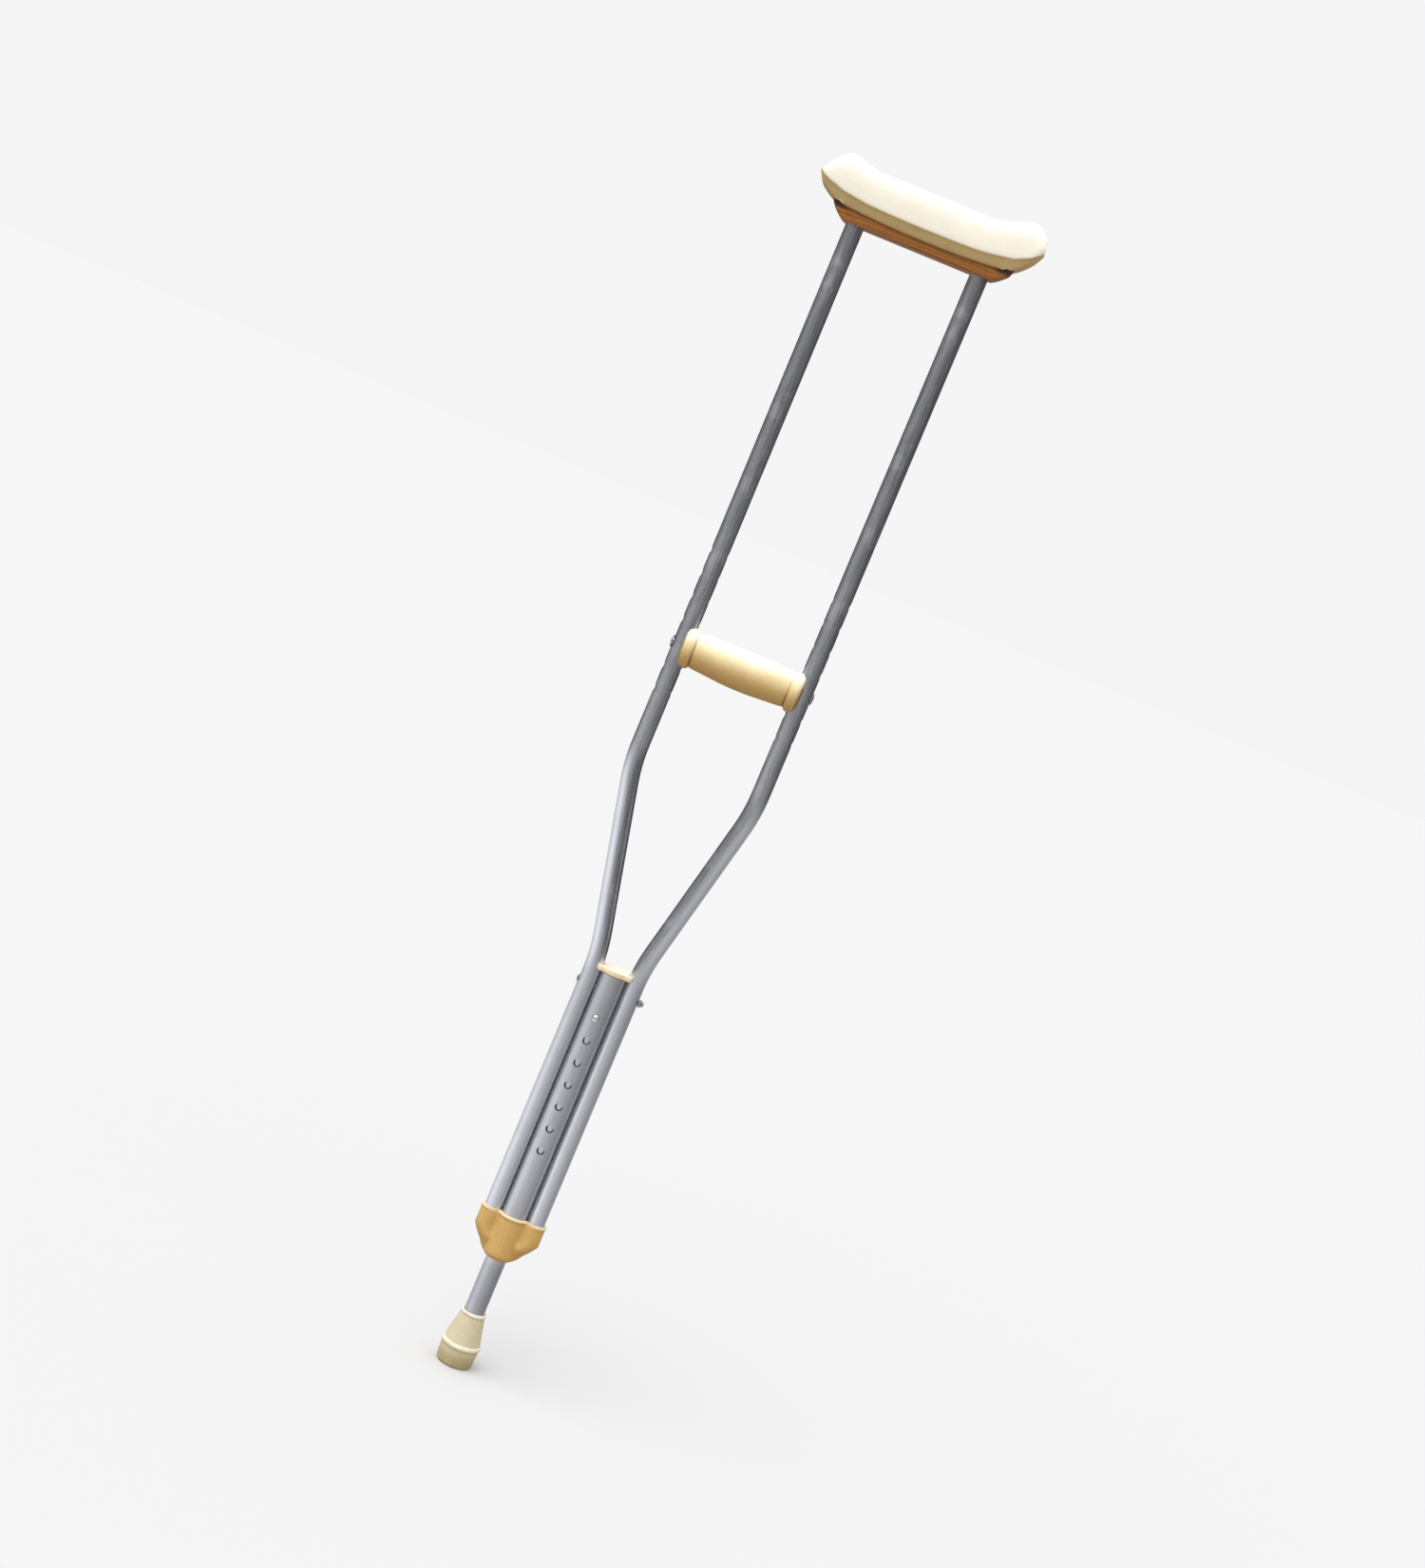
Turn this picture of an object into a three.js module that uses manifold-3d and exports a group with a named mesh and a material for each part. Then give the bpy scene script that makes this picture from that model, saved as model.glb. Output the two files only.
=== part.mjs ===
// Adjustable aluminium underarm crutch: two bent side tubes around a centre tube, a leg that telescopes
// in the centre tube on snap buttons, a handgrip bolted between the side tubes, and a padded saddle.
// Millimetres, +Z up along the crutch. The origin is the middle of the rubber tip's ground face.
// X runs across the two side tubes, and the front, where the front snap button shows, faces -Y.

import * as THREE from 'three';
import { mergeVertices } from 'three/addons/utils/BufferGeometryUtils.js';
import Module from 'manifold-3d';

const wasm = await Module();
wasm.setup();

// ---------------------------------------------------------------- driving dimensions

const GAP = 0.35; // clearance between pieces that touch

const SIDE_TUBE_RADIUS = 9.525; // 3/4 inch tube
const SIDE_TUBE_WALL = 1.25;
const SIDE_TUBE_BOTTOM = 152;
const SIDE_TUBE_TOP = 1271.5;
const LOWER_SPREAD = 24.13; // x of a side tube's axis where it lies against the centre tube
const UPPER_SPREAD = 67.5; // x of a side tube's axis from the upper bend to the saddle
const LOWER_BEND_Z = 468; // where the straight axes would meet, at each bend
const UPPER_BEND_Z = 664;
const BEND_RADIUS = 200;

const CENTRE_TUBE_RADIUS = 14.3; // 1 1/8 inch tube
const CENTRE_TUBE_WALL = 1.3;
const CENTRE_TUBE_BOTTOM = 135;
const CENTRE_TUBE_TOP = 452;

const LEG_RADIUS = 11.1; // 7/8 inch tube
const LEG_WALL = 1.3;
const LEG_BOTTOM = 14.2;
const LEG_TOP = 418;

const HOLE_PITCH = 25.4; // one inch between adjustment holes
const HEIGHT_HOLES = 7; // leg positions, counted down from the button
const BUTTON_Z = 404;
const BUTTON_RADIUS = 4;
const BUTTON_REACH = 17; // the button's crown, from the crutch's axis
const BUTTON_HOLE_RADIUS = 4.5;
const BUTTON_FLANGE_RADIUS = 5;
const SPRING_ARM = 6.4; // outer face of each spring arm, from the axis, at the button
const SPRING_THICKNESS = 0.8;
const SPRING_WIDTH = 7;
const SPRING_PAD = 6; // half length of the flat that carries the button
const SPRING_BEND_Z = 364;
const SPRING_BEND_RADIUS = 3.2;

const GRIP_Z = 796;
const GRIP_STEPS_DOWN = 2; // spare grip holes below and above the one in use
const GRIP_STEPS_UP = 4;
const GRIP_BOLT_RADIUS = 3;
const GRIP_NUT_RADIUS = 4.2;
const GRIP_CORE_RADIUS = 13;
const GRIP_CORE_HALF = 62.5;
const GRIP_END = 65; // half length of the cover
const GRIP_HEAD_RADIUS = 6.4;
const GRIP_HEAD_HEIGHT = 1.8;
const GRIP_BARREL = 14; // how far the barrel nut reaches into the grip from the tube's outside

const BRACKET_BOTTOM = 124;
const BRACKET_TOP = 174;
const BRACKET_WALL = 2.6;
const BRACKET_WAIST = 25; // half width where the side lobes end
const COLLAR_RADIUS = 13.2; // the bracket's lower end, round the leg
const RIVET_RADIUS = 2;
const RIVET_HEAD_RADIUS = 4;
const RIVET_LENGTH = 7;
const RIVET_Z = 161;

const CAP_BOTTOM = 430;
const CAP_TOP = 458;
const CAP_CROWN_RADIUS = 15.8;
const CAP_PLATE_LENGTH = 39;
const CAP_PLATE_DEPTH = 24;
const CAP_BOLT_Z = 434;
const CAP_BOLT_RADIUS = 2.5;
const CAP_BOLT_END = 5.8; // how far its end stands out on the right
const CAP_HEAD_RADIUS = 4;
const CAP_HEAD_HEIGHT = 1.5;
const CAP_NUT_RADIUS = 4.2; // half its width across corners
const CAP_NUT_HEIGHT = 3.2;

const SADDLE_BOTTOM = 1252.5;
const SADDLE_HALF_LENGTH = 97;
const SADDLE_FLAT = 80; // half length of its flat underside
const SADDLE_HALF_DEPTH = 14;
const SADDLE_CROWN = 1281; // its top in the middle
const SADDLE_RISE = 7; // how much higher its top is at the ends
const SCREW_HEAD_TOP = 1282.5;
const SCREW_HEAD_DEPTH = 3;
const SCREW_HEAD_RADIUS = 4.4;
const SCREW_RADIUS = 2.1;
const SCREW_POINT = 1240;
const PLUG_BOTTOM = 1236;
const PAD_HALF_LENGTH = 120.5;
const PAD_HALF_DEPTH = 21;
const PAD_LIP = 1263.5; // the pad's lower edge in the middle
const PAD_MIDDLE = 1310.7; // its top along the flat
const PAD_PEAK = 1320.5; // its top at the turned-up ends
const PAD_EDGE = 6; // rounding of its long edges
const NOTCH_START = 88; // the notch in the pad's lip at each end of the saddle
const NOTCH_END = 98;
const NOTCH_TOP = 1271;

const TIP_TOP = 60.5;
const TIP_FLOOR = 12; // thickness of rubber under the leg
const TIP_FOOT_RADIUS = 18;

const TUBE_SIDES = 24;
const ROUND_SIDES = 32;
const HOLE_SIDES = 12;
const BEND_STEPS = 5;
const REACH = 12; // half length of a drill that passes one side tube
const LONG_REACH = 20; // and of one that passes the centre tube

const SIDES = { left: -1, right: 1 };

// ---------------------------------------------------------------- materials

const finish = (color, roughness, metalness) =>
  new THREE.MeshStandardMaterial({ color, roughness, metalness });

const anodised = () => finish('#a9abb8', 0.38, 1.0);
const steel = () => finish('#b9bcc2', 0.3, 1.0);
const padRubber = () => finish('#e9dcb8', 0.8, 0.0);
const gripRubber = () => finish('#e2cf98', 0.7, 0.0);
const tipRubber = () => finish('#cdbf8f', 0.85, 0.0);
const amberPlastic = () => finish('#cb9c4c', 0.45, 0.0);
const creamPlastic = () => finish('#ecd08f', 0.5, 0.0);
const stainedWood = () => finish('#8a5a24', 0.6, 0.0);
const nylon = () => finish('#e8e4da', 0.55, 0.0);

// ---------------------------------------------------------------- solids and booleans

function solid(geometry) {
  const bare = geometry.clone();
  bare.deleteAttribute('normal');
  bare.deleteAttribute('uv');
  const merged = mergeVertices(bare, 1e-4);
  const vertProperties = new Float32Array(merged.attributes.position.array);
  const triVerts = new Uint32Array(merged.index.array);
  return new wasm.Manifold(new wasm.Mesh({ numProp: 3, vertProperties, triVerts }));
}

function geometryOf(manifold) {
  const { numProp, vertProperties, triVerts } = manifold.getMesh();
  const places = new Float32Array((vertProperties.length / numProp) * 3);
  for (let i = 0; i < places.length / 3; i += 1) {
    places.set(vertProperties.subarray(i * numProp, i * numProp + 3), i * 3);
  }
  const geometry = new THREE.BufferGeometry();
  geometry.setAttribute('position', new THREE.BufferAttribute(places, 3));
  geometry.setIndex(new THREE.BufferAttribute(new Uint32Array(triVerts), 1));
  geometry.computeVertexNormals();
  return geometry;
}

const joined = (solids) => solids.reduce((whole, next) => whole.add(next));
const cut = (body, tools) => tools.reduce((left, tool) => left.subtract(tool), body);

// A round bar along +Z from low to high, its axis at x, y.
function bar(radius, low, high, { x = 0, y = 0, sides = ROUND_SIDES } = {}) {
  const geometry = new THREE.CylinderGeometry(radius, radius, high - low, sides);
  geometry.rotateX(Math.PI / 2);
  geometry.translate(x, y, (low + high) / 2);
  return solid(geometry);
}

// A round bar along X from low to high, at height z.
function crossBar(radius, low, high, z, sides = HOLE_SIDES) {
  const geometry = new THREE.CylinderGeometry(radius, radius, high - low, sides);
  geometry.rotateZ(Math.PI / 2);
  geometry.translate((low + high) / 2, 0, z);
  return solid(geometry);
}

// A round bar along Y from low to high, at x and z.
function depthBar(radius, low, high, x, z, sides = HOLE_SIDES) {
  const geometry = new THREE.CylinderGeometry(radius, radius, high - low, sides);
  geometry.translate(x, (low + high) / 2, z);
  return solid(geometry);
}

// A turned solid about +Z. The profile is [radius, z] pairs from the bottom up.
function turned(profile, sides = ROUND_SIDES) {
  const points = profile.map(([radius, z]) => new THREE.Vector2(radius, z));
  const geometry = new THREE.LatheGeometry(points, sides);
  geometry.rotateX(Math.PI / 2);
  return solid(geometry);
}

// A turned solid about +X. The profile is [radius, x] pairs in order of x.
function turnedAlongX(profile, z, sides = ROUND_SIDES) {
  const points = profile.map(([radius, x]) => new THREE.Vector2(radius, x));
  const geometry = new THREE.LatheGeometry(points, sides);
  geometry.rotateZ(-Math.PI / 2);
  geometry.translate(0, 0, z);
  return solid(geometry);
}

// An outline in X and Z, given depth along Y about y = 0, with optional rounded edges.
function slab(outline, halfDepth, edge = 0) {
  const geometry = new THREE.ExtrudeGeometry(outline, {
    depth: 2 * (halfDepth - edge),
    bevelEnabled: edge > 0,
    bevelThickness: edge,
    bevelSize: edge,
    bevelOffset: -edge,
    bevelSegments: 2,
    curveSegments: 8,
  });
  geometry.rotateX(Math.PI / 2);
  geometry.translate(0, halfDepth - edge, 0);
  return solid(geometry);
}

// ---------------------------------------------------------------- side tubes

// The axis of one side tube: straight, bend out, straight, bend back, straight.
class BowCurve extends THREE.Curve {
  constructor(side) {
    super();
    const lean = Math.atan2(UPPER_SPREAD - LOWER_SPREAD, UPPER_BEND_Z - LOWER_BEND_Z);
    const tangent = BEND_RADIUS * Math.tan(lean / 2);
    this.side = side;
    this.stations = [{ x: LOWER_SPREAD, z: SIDE_TUBE_BOTTOM, lean: 0 }];
    for (let i = 0; i <= BEND_STEPS; i += 1) {
      const turn = (lean * i) / BEND_STEPS;
      this.stations.push({
        x: LOWER_SPREAD + BEND_RADIUS * (1 - Math.cos(turn)),
        z: LOWER_BEND_Z - tangent + BEND_RADIUS * Math.sin(turn),
        lean: turn,
      });
    }
    for (let i = BEND_STEPS; i >= 0; i -= 1) {
      const turn = (lean * i) / BEND_STEPS;
      this.stations.push({
        x: UPPER_SPREAD - BEND_RADIUS * (1 - Math.cos(turn)),
        z: UPPER_BEND_Z + tangent - BEND_RADIUS * Math.sin(turn),
        lean: turn,
      });
    }
    this.stations.push({ x: UPPER_SPREAD, z: SIDE_TUBE_TOP, lean: 0 });
  }

  get steps() {
    return this.stations.length - 1;
  }

  getUtoTmapping(u) {
    return u;
  }

  getPoint(t, target = new THREE.Vector3()) {
    const { x, z } = this.stations[Math.round(t * this.steps)];
    return target.set(this.side * x, 0, z);
  }

  getTangent(t, target = new THREE.Vector3()) {
    const { lean } = this.stations[Math.round(t * this.steps)];
    return target.set(this.side * Math.sin(lean), 0, Math.cos(lean));
  }
}

function sideTube(side) {
  const ring = new THREE.Shape();
  ring.absarc(0, 0, SIDE_TUBE_RADIUS, 0, 2 * Math.PI);
  const bore = new THREE.Path();
  bore.absarc(0, 0, SIDE_TUBE_RADIUS - SIDE_TUBE_WALL, 0, 2 * Math.PI);
  ring.holes.push(bore);
  const path = new BowCurve(side);
  const sweep = { steps: path.steps, extrudePath: path, curveSegments: TUBE_SIDES / 2 };
  const tube = solid(new THREE.ExtrudeGeometry(ring, sweep));

  const holes = [];
  const axis = side * UPPER_SPREAD;
  for (let step = -GRIP_STEPS_DOWN; step <= GRIP_STEPS_UP; step += 1) {
    const z = GRIP_Z + step * HOLE_PITCH;
    holes.push(crossBar(GRIP_BOLT_RADIUS + GAP, axis - REACH, axis + REACH, z));
    if (side === SIDES.left) {
      holes.push(crossBar(GRIP_NUT_RADIUS + GAP, axis - REACH, axis, z));
    }
  }
  const low = side * LOWER_SPREAD;
  holes.push(crossBar(CAP_BOLT_RADIUS + GAP, low - REACH, low + REACH, CAP_BOLT_Z));
  holes.push(depthBar(RIVET_RADIUS + GAP, 0, REACH, low, RIVET_Z));
  return cut(tube, holes);
}

// ---------------------------------------------------------------- centre tube, cap and bracket

function centreTube() {
  const inner = CENTRE_TUBE_RADIUS - CENTRE_TUBE_WALL;
  const outside = bar(CENTRE_TUBE_RADIUS, CENTRE_TUBE_BOTTOM, CENTRE_TUBE_TOP);
  const holes = [bar(inner, CENTRE_TUBE_BOTTOM - 1, CENTRE_TUBE_TOP + 1)];
  for (let hole = 0; hole < HEIGHT_HOLES; hole += 1) {
    const z = BUTTON_Z - hole * HOLE_PITCH;
    holes.push(depthBar(BUTTON_HOLE_RADIUS, -LONG_REACH, LONG_REACH, 0, z, 16));
  }
  holes.push(crossBar(CAP_BOLT_RADIUS + GAP, -LONG_REACH, LONG_REACH, CAP_BOLT_Z));
  return cut(outside, holes);
}

// The plug and plate that close the centre tube and hold the side tubes apart.
function topCap() {
  const plateBottom = CENTRE_TUBE_TOP + GAP;
  const plugRadius = CENTRE_TUBE_RADIUS - CENTRE_TUBE_WALL - GAP;
  const plate = new THREE.BoxGeometry(CAP_PLATE_LENGTH, CAP_PLATE_DEPTH, CAP_TOP - plateBottom);
  plate.translate(0, 0, (CAP_TOP + plateBottom) / 2);
  const crown = turned([
    [0, plateBottom],
    [CAP_CROWN_RADIUS, plateBottom],
    [CAP_CROWN_RADIUS, CAP_TOP - 1],
    [CAP_CROWN_RADIUS - 1, CAP_TOP],
    [0, CAP_TOP],
  ]);
  const whole = joined([solid(plate), crown, bar(plugRadius, CAP_BOTTOM, plateBottom + 1)]);
  const notches = Object.values(SIDES).map((side) =>
    bar(SIDE_TUBE_RADIUS + 2 * GAP, plateBottom - 1, CAP_TOP + 1, { x: side * (LOWER_SPREAD + GAP / 2) }));
  return cut(whole, [...notches, crossBar(CAP_BOLT_RADIUS + GAP, -LONG_REACH, LONG_REACH, CAP_BOLT_Z)]);
}

const capBoltHead = LOWER_SPREAD + SIDE_TUBE_RADIUS + GAP;

// Low round head on the left, thread end through the nut on the right.
function capBolt() {
  return turnedAlongX([
    [0, -capBoltHead - CAP_HEAD_HEIGHT],
    [CAP_HEAD_RADIUS / 2, -capBoltHead - CAP_HEAD_HEIGHT + 0.1],
    [CAP_HEAD_RADIUS - 0.4, -capBoltHead - CAP_HEAD_HEIGHT / 2],
    [CAP_HEAD_RADIUS, -capBoltHead],
    [CAP_BOLT_RADIUS, -capBoltHead],
    [CAP_BOLT_RADIUS, capBoltHead + CAP_BOLT_END - 0.6],
    [CAP_BOLT_RADIUS - 0.6, capBoltHead + CAP_BOLT_END],
    [0, capBoltHead + CAP_BOLT_END],
  ], CAP_BOLT_Z, 20);
}

function capNut() {
  const top = capBoltHead + CAP_NUT_HEIGHT;
  const hexagon = crossBar(CAP_NUT_RADIUS, capBoltHead, top, CAP_BOLT_Z, 6);
  return cut(hexagon, [crossBar(CAP_BOLT_RADIUS + GAP, capBoltHead - 1, top + 1, CAP_BOLT_Z, 20)]);
}

// The moulding under the three tubes: three lobes above, narrowing to a collar for the leg.
function bottomBracket() {
  const centreLobe = CENTRE_TUBE_RADIUS + BRACKET_WALL + 0.1;
  const sideLobe = SIDE_TUBE_RADIUS + BRACKET_WALL;
  const middle = turned([
    [0, BRACKET_BOTTOM],
    [COLLAR_RADIUS, BRACKET_BOTTOM],
    [COLLAR_RADIUS + 2.4, BRACKET_BOTTOM + 2.4],
    [centreLobe, BRACKET_BOTTOM + 7],
    [centreLobe, BRACKET_TOP],
    [0, BRACKET_TOP],
  ], 40);
  const lobes = Object.values(SIDES).map((side) =>
    bar(sideLobe, BRACKET_BOTTOM, BRACKET_TOP, { x: side * LOWER_SPREAD }));

  const halfWidth = LOWER_SPREAD + sideLobe;
  const belly = [20.5, BRACKET_BOTTOM + 4.5];
  const waist = BRACKET_BOTTOM + 12.5;
  const flare = [halfWidth - 3.5, BRACKET_BOTTOM + 21];
  const shoulder = BRACKET_BOTTOM + 27.5;
  const shield = new THREE.Shape();
  shield.moveTo(-COLLAR_RADIUS, BRACKET_BOTTOM);
  shield.lineTo(COLLAR_RADIUS, BRACKET_BOTTOM);
  shield.quadraticCurveTo(...belly, BRACKET_WAIST, waist);
  shield.quadraticCurveTo(...flare, halfWidth + 1, shoulder);
  shield.lineTo(halfWidth + 1, BRACKET_TOP);
  shield.lineTo(-halfWidth - 1, BRACKET_TOP);
  shield.lineTo(-halfWidth - 1, shoulder);
  shield.quadraticCurveTo(-flare[0], flare[1], -BRACKET_WAIST, waist);
  shield.quadraticCurveTo(-belly[0], belly[1], -COLLAR_RADIUS, BRACKET_BOTTOM);

  const body = joined([middle, ...lobes]).intersect(slab(shield, 30));
  const pockets = Object.values(SIDES).map((side) =>
    bar(SIDE_TUBE_RADIUS + GAP, SIDE_TUBE_BOTTOM - 0.5, BRACKET_TOP + 1, { x: side * LOWER_SPREAD }));
  const rivetHoles = Object.values(SIDES).map((side) =>
    depthBar(RIVET_RADIUS + GAP, 0, LONG_REACH, side * LOWER_SPREAD, RIVET_Z));
  return cut(body, [
    ...pockets,
    ...rivetHoles,
    bar(CENTRE_TUBE_RADIUS + GAP, CENTRE_TUBE_BOTTOM - 0.5, BRACKET_TOP + 1),
    bar(LEG_RADIUS + GAP, BRACKET_BOTTOM - 1, BRACKET_TOP),
  ]);
}

// A blind rivet through the bracket and the tube wall, from the back.
function bracketRivet(side) {
  const face = SIDE_TUBE_RADIUS + BRACKET_WALL + 0.2;
  const rivet = new THREE.LatheGeometry([
    new THREE.Vector2(0, face - RIVET_LENGTH),
    new THREE.Vector2(RIVET_RADIUS, face - RIVET_LENGTH),
    new THREE.Vector2(RIVET_RADIUS, face),
    new THREE.Vector2(RIVET_HEAD_RADIUS, face),
    new THREE.Vector2(RIVET_HEAD_RADIUS - 0.6, face + 0.9),
    new THREE.Vector2(0, face + 1.4),
  ], 16);
  rivet.translate(side * LOWER_SPREAD, 0, RIVET_Z);
  return solid(rivet);
}

// ---------------------------------------------------------------- saddle and pad

// The wooden bar that the pad fits over, its lower ends cut away. The pad's channel is the same outline,
// grown by the clearance.
function saddleOutline(grow = 0) {
  const end = SADDLE_HALF_LENGTH + grow;
  const bottom = SADDLE_BOTTOM - grow;
  const shoulder = SADDLE_BOTTOM + 14;
  const crown = SADDLE_CROWN + grow;
  const shape = new THREE.Shape();
  shape.moveTo(-SADDLE_FLAT, bottom);
  shape.lineTo(SADDLE_FLAT, bottom);
  shape.quadraticCurveTo(end - 6, bottom + 2, end, shoulder);
  shape.lineTo(end, crown + SADDLE_RISE);
  shape.quadraticCurveTo(0, crown - SADDLE_RISE, -end, crown + SADDLE_RISE);
  shape.lineTo(-end, shoulder);
  shape.quadraticCurveTo(-end + 6, bottom + 2, -SADDLE_FLAT, bottom);
  return shape;
}

function saddle() {
  const body = slab(saddleOutline(), SADDLE_HALF_DEPTH, 1.5);
  const headSeat = SCREW_HEAD_TOP - SCREW_HEAD_DEPTH - GAP;
  const tools = [];
  for (const side of Object.values(SIDES)) {
    const x = side * UPPER_SPREAD;
    tools.push(bar(SIDE_TUBE_RADIUS + GAP, SADDLE_BOTTOM - 5, SIDE_TUBE_TOP + 0.5, { x }));
    tools.push(bar(SCREW_RADIUS + GAP, SIDE_TUBE_TOP - 1, headSeat + 1, { x, sides: 16 }));
    tools.push(bar(SCREW_HEAD_RADIUS + 0.5, headSeat, headSeat + LONG_REACH, { x, sides: 20 }));
  }
  return cut(body, tools);
}

// The wooden plug in a side tube's top end, which the saddle screw bites into.
function tubePlug(side) {
  const radius = SIDE_TUBE_RADIUS - SIDE_TUBE_WALL - GAP;
  const x = side * UPPER_SPREAD;
  const plug = bar(radius, PLUG_BOTTOM, SIDE_TUBE_TOP - 0.5, { x, sides: TUBE_SIDES });
  return cut(plug, [bar(SCREW_RADIUS + GAP, PLUG_BOTTOM - 5, SIDE_TUBE_TOP + 1, { x, sides: 16 })]);
}

function saddleScrew(side) {
  const under = SCREW_HEAD_TOP - SCREW_HEAD_DEPTH;
  const screw = turned([
    [0, SCREW_POINT],
    [0.6, SCREW_POINT],
    [SCREW_RADIUS, SCREW_POINT + 7],
    [SCREW_RADIUS, under],
    [SCREW_HEAD_RADIUS, under],
    [SCREW_HEAD_RADIUS, SCREW_HEAD_TOP - 1.2],
    [2.6, SCREW_HEAD_TOP],
    [0, SCREW_HEAD_TOP],
  ], 16);
  return screw.translate([side * UPPER_SPREAD, 0, 0]);
}

// One half of the pad's outline, from the middle of its lip round the turned-up end to the middle of its
// top. side is 1 on the right, and on the left, where the outline comes back, -1.
function padEnd(shape, side) {
  const end = PAD_HALF_LENGTH;
  const corners = [
    [[60, PAD_LIP], [88, PAD_LIP + 5.5]],
    [[110, PAD_LIP + 10], [end - 2.5, PAD_LIP + 23.5]],
    [[end + 2, PAD_LIP + 34], [end - 4.5, PAD_PEAK - 11]],
    [[end - 9, PAD_PEAK + 1], [103, PAD_PEAK]],
    [[84, PAD_PEAK - 1.5], [64, PAD_MIDDLE]],
  ];
  if (side > 0) {
    for (const [pull, to] of corners) {
      shape.quadraticCurveTo(pull[0], pull[1], to[0], to[1]);
    }
    return;
  }
  shape.lineTo(-corners[4][1][0], PAD_MIDDLE);
  for (let i = corners.length - 1; i >= 0; i -= 1) {
    const pull = corners[i][0];
    const to = i > 0 ? corners[i - 1][1] : [0, PAD_LIP];
    shape.quadraticCurveTo(-pull[0], pull[1], -to[0], to[1]);
  }
}

// The cushion over the saddle: flat in the middle, turned up at both ends, open underneath.
function pad() {
  const shape = new THREE.Shape();
  shape.moveTo(0, PAD_LIP);
  padEnd(shape, 1);
  padEnd(shape, -1);
  const cushion = slab(shape, PAD_HALF_DEPTH, PAD_EDGE);
  const halfChannel = SADDLE_HALF_DEPTH + GAP + 0.2;
  const channel = slab(saddleOutline(GAP + 0.2), halfChannel);
  const mouth = new THREE.BoxGeometry(2 * SADDLE_FLAT, 2 * halfChannel, 2 * LONG_REACH);
  mouth.translate(0, 0, SADDLE_BOTTOM);
  const notches = Object.values(SIDES).map((side) => {
    const notch = new THREE.BoxGeometry(NOTCH_END - NOTCH_START, 3 * PAD_HALF_DEPTH, LONG_REACH);
    notch.translate((side * (NOTCH_START + NOTCH_END)) / 2, 0, NOTCH_TOP - LONG_REACH / 2);
    return solid(notch);
  });
  return cut(cushion, [channel, solid(mouth), ...notches]);
}

// ---------------------------------------------------------------- leg, buttons and tip

function leg() {
  const tube = bar(LEG_RADIUS, LEG_BOTTOM, LEG_TOP);
  return cut(tube, [
    bar(LEG_RADIUS - LEG_WALL, LEG_BOTTOM - 1, LEG_TOP + 1),
    depthBar(BUTTON_RADIUS + GAP, -LONG_REACH, LONG_REACH, 0, BUTTON_Z, 16),
  ]);
}

// The nylon ring that keeps the leg's top end central in the centre tube.
function legBush() {
  const spigot = LEG_RADIUS - LEG_WALL - GAP;
  const bore = spigot - 1.8;
  const flange = CENTRE_TUBE_RADIUS - CENTRE_TUBE_WALL - GAP;
  return turned([
    [bore, LEG_TOP - 4],
    [spigot, LEG_TOP - 4],
    [spigot, LEG_TOP + GAP],
    [flange, LEG_TOP + GAP],
    [flange, LEG_TOP + 4],
    [bore, LEG_TOP + 4],
    [bore, LEG_TOP - 4],
  ]);
}

// The V-shaped spring strip inside the leg, drawn in Y and Z.
function buttonSpring() {
  const outer = SPRING_ARM;
  const inner = SPRING_ARM - SPRING_THICKNESS;
  const top = BUTTON_Z + SPRING_PAD;
  const low = BUTTON_Z - SPRING_PAD;
  const bend = SPRING_BEND_RADIUS;
  const shape = new THREE.Shape();
  shape.moveTo(outer, top);
  shape.lineTo(inner, top);
  shape.lineTo(inner, low);
  shape.lineTo(bend, SPRING_BEND_Z);
  shape.absarc(0, SPRING_BEND_Z, bend, 0, -Math.PI, true);
  shape.lineTo(-inner, low);
  shape.lineTo(-inner, top);
  shape.lineTo(-outer, top);
  shape.lineTo(-outer, low);
  shape.lineTo(-bend - SPRING_THICKNESS, SPRING_BEND_Z);
  shape.absarc(0, SPRING_BEND_Z, bend + SPRING_THICKNESS, -Math.PI, 0, false);
  shape.lineTo(outer, low);
  const geometry = new THREE.ExtrudeGeometry(shape, {
    depth: SPRING_WIDTH,
    bevelEnabled: false,
    curveSegments: 6,
  });
  geometry.rotateX(Math.PI / 2);
  geometry.translate(0, SPRING_WIDTH / 2, 0);
  geometry.rotateZ(Math.PI / 2);
  return solid(geometry);
}

// A snap button: a flange inside the leg and a domed pin out through both tubes. direction is -1 at
// the front and 1 at the back.
function snapButton(direction) {
  const profile = [
    [0, SPRING_ARM + GAP],
    [BUTTON_FLANGE_RADIUS, SPRING_ARM + GAP],
    [BUTTON_FLANGE_RADIUS, SPRING_ARM + 1.2],
    [BUTTON_RADIUS, SPRING_ARM + 1.2],
    [BUTTON_RADIUS, BUTTON_REACH - 1.8],
    [BUTTON_RADIUS * 0.86, BUTTON_REACH - 0.9],
    [BUTTON_RADIUS * 0.5, BUTTON_REACH - 0.2],
    [0, BUTTON_REACH],
  ];
  const points = profile.map(([radius, y]) => new THREE.Vector2(radius, y));
  const geometry = new THREE.LatheGeometry(points, 20);
  if (direction < 0) {
    geometry.rotateZ(Math.PI);
  }
  geometry.translate(0, 0, BUTTON_Z);
  return solid(geometry);
}

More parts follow.
